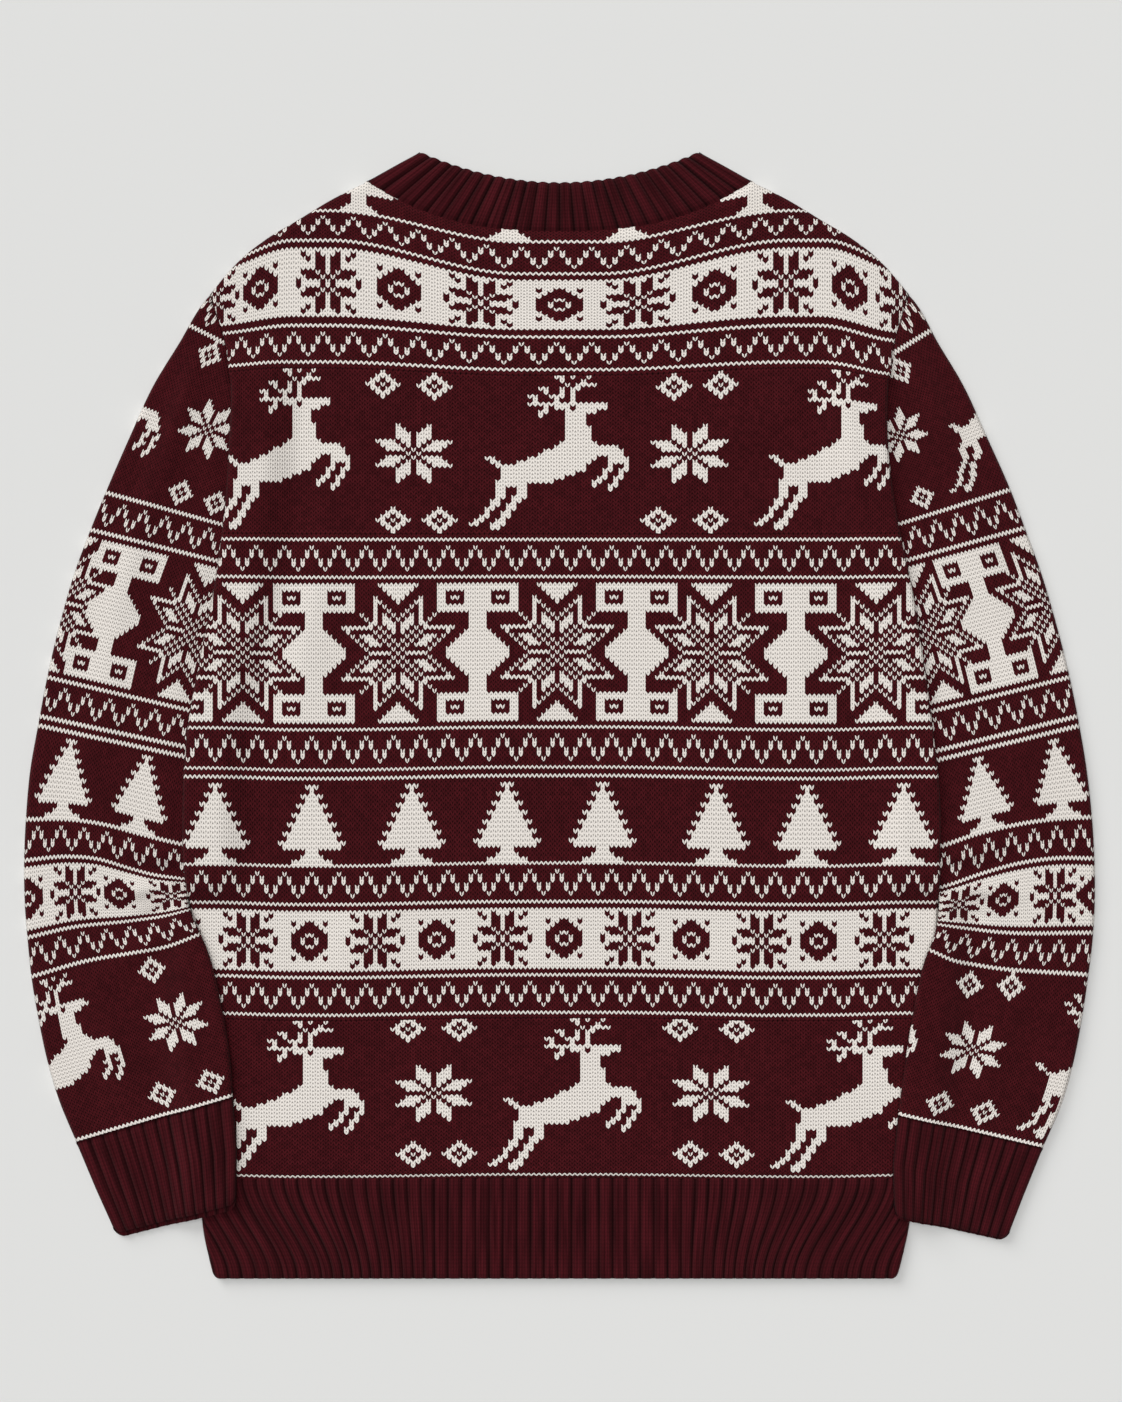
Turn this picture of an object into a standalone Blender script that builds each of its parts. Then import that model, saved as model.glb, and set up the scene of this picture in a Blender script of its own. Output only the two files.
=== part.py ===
"""Christmas sweater: a knitted crew-neck pullover, laid flat on its front.

Eight sewn pieces, each a closed wall of knit: the back and front panels, two sleeve tubes,
the neckband ring, the hem rib tube and two cuff tubes. The body's side edges lie over the
inner edges of the sleeves as far as the elbow, and from there down the sleeves and cuffs lie
over the body.

Frame: metres, +Z up, +X to the right and +Y toward the collar with the back seen from above.
Origin: on the surface that the sweater lies on, under the middle of its outline.
The tables and named sizes below are in millimetres; MM turns them into metres.
"""
import math

import bmesh
import bpy

MM = 0.001

# Knit walls and the folded edge where two layers meet.
WALL = 2.9            # thickness of the jacquard and rib knit
SLIT = 0.6            # air left between the two layers of a tube
HALF = WALL + SLIT / 2
SEAM_GAP = 0.3        # between pieces that are sewn together
ARMHOLE_GAP = 0.5     # the armhole seam curves, so its straight facets need a little more
EDGE_HEIGHT = 0.9     # least wall height kept at the very edge of a panel
EDGE_STATIONS = (0.6, 3.2)

# Where sleeves and body pass over each other.
OVERLAP_LIFT = 7.4    # a layer that lies on a folded tube is lifted by this
TUCK = 20.0           # how far a sleeve reaches under the body's edge
LIFT_FADE = 25.0      # width of the slope from the lifted strip down to the surface
ARMHOLE_TOP = 266.7
TUCK_START = 210.8    # below this height the sleeve dips under the body's edge
TUCK_FULL = 196.0
BODY_RISE = (240.0, 214.0)       # the body's edge climbs between these heights
ELBOW_CROSS = (-104.0, -122.0)   # body and sleeve change places between these heights

# Neckline.
NECK_HALF = 122.2     # half width at the neck seam
NECK_SHOULDER_Y = 337.8
BACK_SEAM_Y = 306.1
FRONT_SEAM_Y = 231.8
OPENING_HALF = 88.6   # half width at the neckband's free edge
OPENING_TIP_Y = 357.2
BACK_OPENING_Y = 337.8
FRONT_OPENING_Y = 263.5
BACK_SEAM_POWER = 2.6
FRONT_SEAM_POWER = 2.2

HEM_SEAM_Y = -293.4
HEM_FREE_Y = -357.2

# Ribs: ridges on the outer side of the upper layer.
RIB_HEIGHT = 1.1
RIB_SINK = 0.7        # the groove lies this much below the panel's surface
HEM_RIBS = 52
NECK_RIBS = 26
CUFF_RIBS = 12

# Side edges of the body, armhole to hem: height, left edge, right edge.
BODY_SIDES = (
    (266.7, -221.3, 221.3),
    (235.6, -211.8, 211.8),
    (210.8, -208.0, 208.0),
    (171.4, -208.9, 207.7),
    (120.7, -212.7, 214.2),
    (82.0, -218.1, 222.4),
    (35.6, -227.3, 230.0),
    (-10.2, -235.3, 236.2),
    (-54.6, -238.1, 240.6),
    (-99.0, -237.3, 240.5),
    (-119.4, -234.9, 240.3),
    (-200.0, -231.5, 236.5),
    (-293.4, -227.3, 225.1),
    (-322.6, -226.4, 221.9),
    (-357.2, -220.0, 214.9),
)

# Shoulder fold from the neck to the armhole: distance from the middle, height.
SHOULDER = (
    (122.2, 337.8),
    (144.0, 327.0),
    (165.0, 314.3),
    (186.0, 301.6),
    (202.0, 289.0),
    (214.0, 276.0),
    (221.3, 266.7),
)

# Rows of the body panels: height at the side edge, share of the shoulder and neck shape.
PANEL_ROWS = (
    (266.7, 1.00),
    (235.6, 0.82),
    (210.8, 0.62),
    (186.0, 0.46),
    (156.0, 0.30),
    (120.0, 0.14),
    (84.0, 0.00),
    (48.0, 0.00),
    (10.0, 0.00),
    (-28.0, 0.00),
    (-66.0, 0.00),
    (-92.0, 0.00),
    (-104.0, 0.00),
    (-113.0, 0.00),
    (-122.0, 0.00),
    (-150.0, 0.00),
    (-185.0, 0.00),
    (-220.0, 0.00),
    (-256.0, 0.00),
    (-293.4, 0.00),
)
PANEL_EDGE_COLUMNS = (0.0,) + EDGE_STATIONS + (21.0, 34.0, 47.0)
NECK_STEPS = 6        # columns on each side of the middle, as far as the neck's corner

# Sleeve sections: outer edge x and y, inner edge height, and how far the inner edge lies
# inside the body's edge (negative: beside it). Both sleeves are measured on their own.
LEFT_SLEEVE = (
    (-224.5, 262.9, 123.8, 20.0),
    (-241.0, 236.0, 108.0, 20.0),
    (-256.9, 210.0, 92.1, 20.0),
    (-272.1, 177.2, 73.0, 20.0),
    (-287.3, 142.2, 55.2, 20.0),
    (-298.1, 115.6, 41.3, 20.0),
    (-307.7, 89.5, 27.3, 20.0),
    (-316.5, 59.1, 9.5, 20.0),
    (-324.0, 27.9, -12.7, 19.0),
    (-330.8, -7.6, -38.1, 17.0),
    (-335.6, -34.9, -57.1, 15.0),
    (-338.2, -63.5, -78.1, 10.0),
    (-339.4, -88.9, -95.9, 3.0),
    (-339.5, -104.8, -107.3, -1.2),
    (-338.8, -123.8, -119.0, -1.2),
    (-337.2, -143.0, -131.0, 4.0),
    (-334.8, -166.4, -150.0, 11.0),
    (-330.3, -193.0, -178.0, 17.5),
    (-324.6, -219.7, -203.8, 21.5),
    (-317.2, -244.5, -222.9, 23.0),
    (-306.4, -270.5, -241.3, 23.2),
)
RIGHT_SLEEVE = (
    (224.5, 262.9, 123.8, 20.0),
    (240.0, 236.0, 108.0, 20.0),
    (255.5, 210.0, 92.1, 20.0),
    (270.6, 177.2, 73.0, 20.0),
    (285.6, 143.5, 55.2, 20.0),
    (296.4, 114.9, 41.3, 20.0),
    (305.6, 89.5, 27.3, 20.0),
    (314.6, 59.1, 9.5, 20.0),
    (322.6, 27.9, -12.7, 19.0),
    (329.8, -7.6, -38.1, 17.0),
    (334.3, -34.9, -57.1, 15.0),
    (337.5, -63.5, -78.1, 10.0),
    (339.1, -88.9, -95.9, 3.0),
    (339.5, -108.0, -108.0, -1.2),
    (339.1, -127.0, -120.5, -1.2),
    (337.6, -147.0, -135.0, 2.0),
    (335.2, -166.0, -156.8, 9.0),
    (331.0, -194.0, -188.0, 14.0),
    (326.2, -218.8, -209.6, 15.8),
    (318.4, -246.5, -231.8, 16.4),
    (306.4, -274.3, -252.7, 16.4),
)
SLEEVE_STATIONS = 7   # across each layer of a sleeve, between its folded edges

# Cuff sections below the sleeve's last one: outer edge x and y, inner edge x and y.
LEFT_CUFF = (
    (-294.0, -300.4, -203.8, -274.0),
    (-280.0, -331.5, -204.4, -312.4),
)
RIGHT_CUFF = (
    (294.2, -304.8, 210.6, -284.0),
    (283.0, -333.6, 211.6, -318.0),
)

# Soft folds: middle x and y, direction in degrees from +X, half length, half width, height.
BACK_FOLDS = (
    (-128.0, 196.0, -34.0, 62.0, 15.0, 2.2),
    (126.0, 190.0, -145.0, 66.0, 15.0, 2.4),
    (-150.0, 60.0, 82.0, 80.0, 17.0, 1.7),
    (152.0, 30.0, 97.0, 92.0, 18.0, 1.9),
    (-118.0, -150.0, 74.0, 70.0, 19.0, 1.6),
    (108.0, -190.0, 102.0, 64.0, 18.0, 1.8),
    (-18.0, -10.0, 88.0, 110.0, 24.0, 1.2),
)
LEFT_SLEEVE_FOLDS = (
    (-238.0, 190.0, -104.0, 44.0, 9.0, 2.4),
    (-262.0, 120.0, -106.0, 60.0, 11.0, 2.0),
    (-288.0, 0.0, -98.0, 60.0, 12.0, 1.6),
    (-262.0, -102.0, 12.0, 24.0, 7.0, 2.6),
    (-268.0, -146.0, -24.0, 30.0, 8.0, 2.2),
    (-284.0, -206.0, -76.0, 40.0, 12.0, 1.8),
)
RIGHT_SLEEVE_FOLDS = (
    (238.0, 186.0, -76.0, 46.0, 9.0, 2.4),
    (264.0, 112.0, -72.0, 58.0, 11.0, 2.0),
    (290.0, -6.0, -82.0, 56.0, 12.0, 1.6),
    (264.0, -98.0, 166.0, 26.0, 7.0, 2.6),
    (270.0, -142.0, -158.0, 28.0, 8.0, 2.2),
    (278.0, -204.0, -104.0, 42.0, 12.0, 1.8),
)
SEAM_CALM = 22.0      # folds fade out over this distance from a seam

# Knit colours, linear RGB.
BURGUNDY = (0.095, 0.011, 0.020, 1.0)
RIB_BURGUNDY = (0.075, 0.009, 0.016, 1.0)
KNIT_ROUGHNESS = 0.92


def smooth(value):
    """Smooth step from 0 to 1, flat outside that range."""
    value = min(max(value, 0.0), 1.0)
    return value * value * (3.0 - 2.0 * value)


def blend(start, end, share):
    return start + (end - start) * share


def read_table(rows, key, column):
    """Value of a column at a height, on a smooth curve through the rows (first column = key)."""
    if rows[0][0] > rows[-1][0]:
        rows = tuple(reversed(rows))
    last = len(rows) - 1
    key = min(max(key, rows[0][0]), rows[last][0])
    i = 0
    while i < last - 1 and rows[i + 1][0] < key:
        i += 1

    def slope(n):
        low, high = max(n - 1, 0), min(n + 1, last)
        return (rows[high][column] - rows[low][column]) / (rows[high][0] - rows[low][0])

    span = rows[i + 1][0] - rows[i][0]
    t = (key - rows[i][0]) / span
    hermite = (
        (2 * t**3 - 3 * t**2 + 1) * rows[i][column],
        (t**3 - 2 * t**2 + t) * span * slope(i),
        (3 * t**2 - 2 * t**3) * rows[i + 1][column],
        (t**3 - t**2) * span * slope(i + 1),
    )
    return sum(hermite)


def body_edge(y, side):
    """X of the body's left (side -1) or right (side 1) edge, straight between panel rows."""
    column = 1 if side < 0 else 2
    heights = [height for height, _ in PANEL_ROWS]
    if y <= heights[-1]:
        return read_table(BODY_SIDES, y, column)
    row = 1
    while heights[row] > y:
        row += 1
    upper, lower = heights[row - 1], heights[row]
    share = min((upper - y) / (upper - lower), 1.0)
    return blend(read_table(BODY_SIDES, upper, column), read_table(BODY_SIDES, lower, column), share)


def fold_height(edge):
    """Half height of a folded edge at a distance in from the fold."""
    if edge >= HALF:
        return HALF
    return math.sqrt(HALF**2 - (HALF - edge)**2)


def fold_relief(folds, x, y):
    """Rise of the upper layer at a point, from the table of soft folds."""
    rise = 0.0
    for fold_x, fold_y, degrees, half_length, half_width, height in folds:
        angle = math.radians(degrees)
        along = (x - fold_x) * math.cos(angle) + (y - fold_y) * math.sin(angle)
        across = (y - fold_y) * math.cos(angle) - (x - fold_x) * math.sin(angle)
        rise += height * math.exp(-(along / half_length)**2 - (across / half_width)**2)
    return rise


def body_lift(y, edge):
    """Lift of the body where its edge lies on a sleeve, at a distance in from the edge."""
    rise = smooth((BODY_RISE[0] - y) / (BODY_RISE[0] - BODY_RISE[1]))
    drop = smooth((y - ELBOW_CROSS[1]) / (ELBOW_CROSS[0] - ELBOW_CROSS[1]))
    fade = smooth((TUCK + 1.0 + LIFT_FADE - edge) / LIFT_FADE)
    return OVERLAP_LIFT * rise * drop * fade


def sleeve_lift(x, y, side):
    """Lift of a sleeve or cuff where it lies on the body, which its inner edge does."""
    inside = side * (body_edge(y, side) - x)
    below = smooth((ELBOW_CROSS[0] - y) / (ELBOW_CROSS[0] - ELBOW_CROSS[1]))
    return OVERLAP_LIFT * below * smooth((inside + 1.0 + LIFT_FADE) / LIFT_FADE)


def rib_rise(share, ribs):
    """Height of a rib knit above the panel's surface, at a share of the way across."""
    wave = math.cos(2.0 * math.pi * share * ribs)
    return RIB_HEIGHT * (0.5 - 0.5 * wave) - RIB_SINK


def add_surface(bm, rows, closed):
    """Lay a grid of points as triangles with one diagonal, and give back its vertices."""
    grid = [[bm.verts.new((x * MM, y * MM, z * MM)) for x, y, z in row] for row in rows]
    for upper, lower in zip(grid, grid[1:]):
        join_rows(bm, upper, lower, closed)
    return grid


def join_rows(bm, upper, lower, closed):
    """Two rows of vertices of equal length joined by triangles."""
    count = len(upper)
    for j in range(count if closed else count - 1):
        k = (j + 1) % count
        bm.faces.new((upper[j], upper[k], lower[k]))
        bm.faces.new((upper[j], lower[k], lower[j]))


def make_material(name, colour):
    material = bpy.data.materials.new(name)
    material.use_nodes = True
    shader = material.node_tree.nodes["Principled BSDF"]
    shader.inputs["Base Color"].default_value = colour
    shader.inputs["Roughness"].default_value = KNIT_ROUGHNESS
    shader.inputs["Metallic"].default_value = 0.0
    material.diffuse_color = colour
    return material


def make_wall(name, outer, inner, closed, colour, collection):
    """Closed wall between an outer and an inner grid of points; closed rings make a tube."""
    bm = bmesh.new()
    outside = add_surface(bm, outer, closed)
    inside = add_surface(bm, inner, closed)
    join_rows(bm, outside[0], inside[0], closed)
    join_rows(bm, outside[-1], inside[-1], closed)
    if not closed:
        for column in (0, -1):
            join_rows(bm, [row[column] for row in outside], [row[column] for row in inside], False)
    bmesh.ops.recalc_face_normals(bm, faces=bm.faces)
    mesh = bpy.data.meshes.new(name)
    bm.to_mesh(mesh)
    bm.free()
    mesh.shade_smooth()
    mesh.set_sharp_from_angle(angle=math.radians(50.0))
    mesh.materials.append(make_material(name + "_knit", colour))
    collection.objects.link(bpy.data.objects.new(name, mesh))


def neck_seam(share, front):
    """Height of the neck seam at a share of its half width, straight between columns."""
    lowest = FRONT_SEAM_Y if front else BACK_SEAM_Y
    power = FRONT_SEAM_POWER if front else BACK_SEAM_POWER
    step = min(int(share * NECK_STEPS), NECK_STEPS - 1)
    ends = [blend(lowest, NECK_SHOULDER_Y, (n / NECK_STEPS)**power) for n in (step, step + 1)]
    return blend(ends[0], ends[1], share * NECK_STEPS - step)


def panel_top(x, front):
    """Height of a panel's upper edge: the neck seam between its corners, then the shoulder."""
    distance = abs(x)
    if distance >= NECK_HALF:
        return read_table(SHOULDER, distance, 1)
    return neck_seam(distance / NECK_HALF, front)


def panel_columns(y):
    """X of each column of a panel at a height, and its distance in from the nearer edge."""
    left, right = body_edge(y, -1), body_edge(y, 1)
    middle, half = (left + right) / 2, (right - left) / 2
    neck_share = NECK_HALF / BODY_SIDES[0][2]
    columns = [(left + step, step) for step in PANEL_EDGE_COLUMNS]
    for i in range(-NECK_STEPS, NECK_STEPS + 1):
        share = neck_share * i / NECK_STEPS
        x = middle + half * share
        columns.append((x, half * (1.0 - abs(share))))
    columns += [(right - step, step) for step in reversed(PANEL_EDGE_COLUMNS)]
    return columns


def panel_rows():
    """Rows of a panel: height at the side, shape share, drop below the top edge."""
    rows = [(ARMHOLE_TOP, 1.0, 0.0)]
    rows += [(ARMHOLE_TOP - drop, 1.0, drop) for drop in EDGE_STATIONS[1:]]
    rows += [(height, share, ARMHOLE_TOP - height) for height, share in PANEL_ROWS[1:]]
    return rows


def make_panel(name, front, collection):
    """Body panel: the lower half (front) or upper half (back) of the flattened body."""
    outer, inner = [], []
    top_columns = panel_columns(ARMHOLE_TOP)
    for height, share, drop in panel_rows():
        outer_row, inner_row = [], []
        for (x, edge), (top_x, _) in zip(panel_columns(height), top_columns):
            y = height + share * (panel_top(top_x, front) - ARMHOLE_TOP)
            on_shoulder = abs(top_x) > NECK_HALF + 1.0
            fold_edge = min(edge, drop) if on_shoulder else edge
            middle = HALF + body_lift(height, edge)
            thick = max(fold_height(fold_edge), EDGE_HEIGHT)
            if front:
                outer_row.append((x, y, middle - thick))
                inner_row.append((x, y, middle - SEAM_GAP / 2))
            else:
                calm = smooth((edge - TUCK - LIFT_FADE) / SEAM_CALM)
                calm *= smooth(min(drop, y - HEM_SEAM_Y) / SEAM_CALM)
                rise = calm * fold_relief(BACK_FOLDS, x, y)
                outer_row.append((x, y, middle + thick + rise))
                inner_row.append((x, y, middle + SEAM_GAP / 2 + rise))
        outer.append(outer_row)
        inner.append(inner_row)
    make_wall(name, outer, inner, False, BURGUNDY, collection)


def layer_stations(width, count, ribs=0):
    """Distances across a tube pressed flat, from fold to fold, both included."""
    if ribs:
        steps = 3 * ribs
        inside = [width * i / steps for i in range(1, steps)]
        inside = [s for s in inside if EDGE_STATIONS[-1] < s < width - EDGE_STATIONS[-1]]
    else:
        start = EDGE_STATIONS[-1]
        inside = [blend(start, width - start, i / (count + 1)) for i in range(1, count + 1)]
    left = [0.0] + list(EDGE_STATIONS)
    return left + inside + [width - s for s in reversed(left)]


def flat_ring(width, upper, lower, stations_up, stations_down, lift, relief, ribs=0):
    """Outer and inner points round one section of a tube pressed flat.

    upper and lower give the plan point of each layer at a share of the way across.
    """
    outer, inner = [], []
    layers = ((1, upper, stations_up), (-1, lower, stations_down[-2:0:-1]))
    for side, path, stations in layers:
        for s in stations:
            x, y = path(s / width)
            edge = min(s, width - s)
            middle = HALF + lift(x, y)
            rise = relief(x, y, edge) if side > 0 else 0.0
            thick = fold_height(edge)
            if side > 0 and ribs and edge > EDGE_STATIONS[0]:
                thick += rib_rise(s / width, ribs) * smooth(edge / (2.0 * HALF))
            outer.append((x, y, middle + side * thick + rise))
            share = (WALL + s * (width - 2.0 * WALL) / width) / width
            x, y = path(share)
            slit = side * SLIT / 2 if edge > 0.0 else 0.0
            inner.append((x, y, HALF + lift(x, y) + slit + rise))
    return outer, inner


def flat_tube(name, sections, collection, colour):
    """Tube pressed flat, from the arguments of flat_ring for each of its sections."""
    rings = [flat_ring(**section) for section in sections]
    outer = [ring[0] for ring in rings]
    inner = [ring[1] for ring in rings]
    make_wall(name, outer, inner, True, colour, collection)


def armhole_point(side, share):
    """Plan point on a sleeve's armhole line, from the shoulder down under the body's edge."""
    rows = LEFT_SLEEVE if side < 0 else RIGHT_SLEEVE
    y = blend(rows[0][1], rows[0][2], share)
    tuck = (TUCK + ARMHOLE_GAP) * smooth((TUCK_START - y) / (TUCK_START - TUCK_FULL)) - ARMHOLE_GAP
    return body_edge(y, side) - side * tuck, y


def sleeve_path(side, index):
    """Plan line across a sleeve at one section, from its left fold to its right fold."""
    rows = LEFT_SLEEVE if side < 0 else RIGHT_SLEEVE
    outer_x, outer_y, inner_y, inside = rows[index]
    inner_x = body_edge(inner_y, side) - side * inside
    first_outer = (rows[0][0], rows[0][1])
    first_inner = armhole_point(side, 1.0)
    bow_share = max(0.0, 1.0 - index / 4.0)**2

    def path(share):
        across = share if side < 0 else 1.0 - share
        x, y = blend(outer_x, inner_x, across), blend(outer_y, inner_y, across)
        arm_x, arm_y = armhole_point(side, across)
        bow_x = arm_x - blend(first_outer[0], first_inner[0], across)
        bow_y = arm_y - blend(first_outer[1], first_inner[1], across)
        return x + bow_share * bow_x, y + bow_share * bow_y

    width = math.hypot(outer_x - inner_x, outer_y - inner_y)
    return path, width


def make_sleeve(name, side, collection):
    rows = LEFT_SLEEVE if side < 0 else RIGHT_SLEEVE
    folds = LEFT_SLEEVE_FOLDS if side < 0 else RIGHT_SLEEVE_FOLDS
    sections = []
    for index in range(len(rows)):
        path, width = sleeve_path(side, index)
        to_end = min(index, len(rows) - 1 - index)
        calm_end = smooth(to_end / 2.0)
        stations = layer_stations(width, SLEEVE_STATIONS)

        def relief(x, y, edge, calm_end=calm_end):
            hidden = side * (body_edge(y, side) - x)
            calm = smooth((edge - HALF) / SEAM_CALM) * calm_end
            if y > ELBOW_CROSS[0]:
                calm *= smooth(-hidden / 8.0)
            return calm * fold_relief(folds, x, y)

        sections.append(dict(
            width=width, upper=path, lower=path, stations_up=stations, stations_down=stations,
            lift=lambda x, y: sleeve_lift(x, y, side), relief=relief))
    flat_tube(name, sections, collection, BURGUNDY)


def straight_path(left, right):
    return lambda share: (blend(left[0], right[0], share), blend(left[1], right[1], share))


def no_relief(x, y, edge):
    return 0.0


def cuff_seam(side):
    """Plan line of a cuff's upper end, just below the last section of its sleeve."""
    sleeve_line, width = sleeve_path(side, len(LEFT_SLEEVE) - 1)

    def path(share):
        x, y = sleeve_line(share)
        return x, y - SEAM_GAP

    return path, width


def make_cuff(name, side, collection):
    """Ribbed tube on the end of a sleeve; its inner part lies on the body and the hem."""
    lines = [cuff_seam(side)]
    for outer_x, outer_y, inner_x, inner_y in (LEFT_CUFF if side < 0 else RIGHT_CUFF):
        ends = ((outer_x, outer_y), (inner_x, inner_y))
        path = straight_path(*(ends if side < 0 else reversed(ends)))
        lines.append((path, math.hypot(outer_x - inner_x, outer_y - inner_y)))
    sections = []
    for path, width in lines:
        sections.append(dict(
            width=width, upper=path, lower=path,
            stations_up=layer_stations(width, 0, CUFF_RIBS),
            stations_down=layer_stations(width, 6),
            lift=lambda x, y: sleeve_lift(x, y, side), relief=no_relief, ribs=CUFF_RIBS))
    flat_tube(name, sections, collection, RIB_BURGUNDY)


def make_hem(name, collection):
    """Ribbed tube below both body panels."""
    sections = []
    for y in (HEM_SEAM_Y - SEAM_GAP, blend(HEM_SEAM_Y, HEM_FREE_Y, 0.5), HEM_FREE_Y):
        left, right = body_edge(y, -1), body_edge(y, 1)
        path = straight_path((left, y), (right, y))
        sections.append(dict(
            width=right - left, upper=path, lower=path,
            stations_up=layer_stations(right - left, 0, HEM_RIBS),
            stations_down=layer_stations(right - left, 12),
            lift=lambda x, y: 0.0, relief=no_relief, ribs=HEM_RIBS))
    flat_tube(name, sections, collection, RIB_BURGUNDY)


def neck_path(depth, front):
    """Plan line of the neckband's upper (back) or lower (front) layer; depth 1 is its seam."""
    half = blend(OPENING_HALF, NECK_HALF, depth)
    open_middle = FRONT_OPENING_Y if front else BACK_OPENING_Y

    def path(share):
        across = 2.0 * share - 1.0
        free = blend(open_middle, OPENING_TIP_Y, across**2)
        seam = neck_seam(abs(across), front) + SEAM_GAP
        return half * across, blend(free, seam, depth)

    return path, 2.0 * half


def make_neckband(name, collection):
    """Ribbed ring: its back half lies over its front half, which dips lower."""
    sections = []
    for depth in (0.0, 0.5, 1.0):
        upper, width = neck_path(depth, False)
        lower, _ = neck_path(depth, True)
        sections.append(dict(
            width=width, upper=upper, lower=lower,
            stations_up=layer_stations(width, 0, NECK_RIBS),
            stations_down=layer_stations(width, 20),
            lift=lambda x, y: 0.0, relief=no_relief, ribs=NECK_RIBS))
    flat_tube(name, sections, collection, RIB_BURGUNDY)


def clear_scene():
    for item in list(bpy.data.objects):
        bpy.data.objects.remove(item, do_unlink=True)


def main():
    clear_scene()
    collection = bpy.data.collections.new("christmas_sweater")
    bpy.context.scene.collection.children.link(collection)
    make_panel("front_panel", True, collection)
    make_panel("back_panel", False, collection)
    make_sleeve("sleeve_left", -1, collection)
    make_sleeve("sleeve_right", 1, collection)
    make_neckband("neckband", collection)
    make_hem("hem_rib", collection)
    make_cuff("cuff_left", -1, collection)
    make_cuff("cuff_right", 1, collection)


main()
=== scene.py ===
"""Looks of the christmas sweater: a knitted pullover laid flat on its front.

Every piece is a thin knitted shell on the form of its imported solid. The colour work is
knitted stitch by stitch: a chart says which stitches are cream, and each stitch is a V of two
faces whose colour comes from the chart.

Tables and named sizes are in millimetres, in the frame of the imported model; MM turns them
into metres. Columns and rows of charts are counted in stitches.
"""
import math

import bpy
import numpy as np
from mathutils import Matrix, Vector


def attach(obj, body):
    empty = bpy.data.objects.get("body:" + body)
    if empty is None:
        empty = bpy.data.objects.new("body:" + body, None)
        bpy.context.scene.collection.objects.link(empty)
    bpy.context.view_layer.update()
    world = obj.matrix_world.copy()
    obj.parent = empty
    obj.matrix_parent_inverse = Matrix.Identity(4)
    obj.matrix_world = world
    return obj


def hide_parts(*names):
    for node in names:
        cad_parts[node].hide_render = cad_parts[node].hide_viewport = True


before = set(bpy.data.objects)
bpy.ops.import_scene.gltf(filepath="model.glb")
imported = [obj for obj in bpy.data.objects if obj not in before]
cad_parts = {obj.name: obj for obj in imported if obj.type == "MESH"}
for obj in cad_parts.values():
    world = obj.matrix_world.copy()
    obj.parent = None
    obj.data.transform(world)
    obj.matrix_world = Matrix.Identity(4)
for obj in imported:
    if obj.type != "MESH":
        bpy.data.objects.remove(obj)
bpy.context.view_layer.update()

MM = 0.001

# -------- form of the garment

HALF = 3.2            # half the thickness of the flattened body or sleeve
OVERLAP_LIFT = 7.4    # a layer that lies on a folded tube is lifted by this
TUCK = 20.0           # how far a sleeve reaches under the body's edge
LIFT_FADE = 25.0
ARMHOLE_GAP = 0.15
ARMHOLE_DIP = 1.1     # the seam's groove along the armhole
TUCK_START = 210.8    # below this height the sleeve dips under the body's edge
TUCK_FULL = 196.0
BODY_RISE = (240.0, 214.0)
ELBOW_CROSS = (-104.0, -122.0)

NECK_HALF = 122.2
NECK_SHOULDER_Y = 337.8
BACK_SEAM_Y = 306.1
FRONT_SEAM_Y = 231.8
OPENING_HALF = 88.6
OPENING_TIP_Y = 357.2
BACK_OPENING_Y = 337.8
FRONT_OPENING_Y = 263.5
BACK_SEAM_POWER = 2.6
FRONT_SEAM_POWER = 2.2
HEM_SEAM_Y = -293.4
HEM_FREE_Y = -357.2

# Side edges of the body, armhole to hem: height, left edge, right edge.
BODY_SIDES = (
    (266.7, -221.3, 221.3),
    (235.6, -211.8, 211.8),
    (210.8, -208.0, 208.0),
    (171.4, -208.9, 207.7),
    (120.7, -212.7, 214.2),
    (82.0, -218.1, 222.4),
    (35.6, -227.3, 230.0),
    (-10.2, -235.3, 236.2),
    (-54.6, -238.1, 240.6),
    (-99.0, -237.3, 240.5),
    (-119.4, -234.9, 240.3),
    (-200.0, -231.5, 236.5),
    (-293.4, -227.3, 225.1),
    (-322.6, -226.4, 221.9),
    (-357.2, -220.0, 214.9),
)

# Shoulder fold from the neck to the armhole: distance from the middle, height.
SHOULDER = (
    (122.2, 337.8),
    (144.0, 327.0),
    (165.0, 314.3),
    (186.0, 301.6),
    (202.0, 289.0),
    (214.0, 276.0),
    (221.3, 266.7),
)

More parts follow.
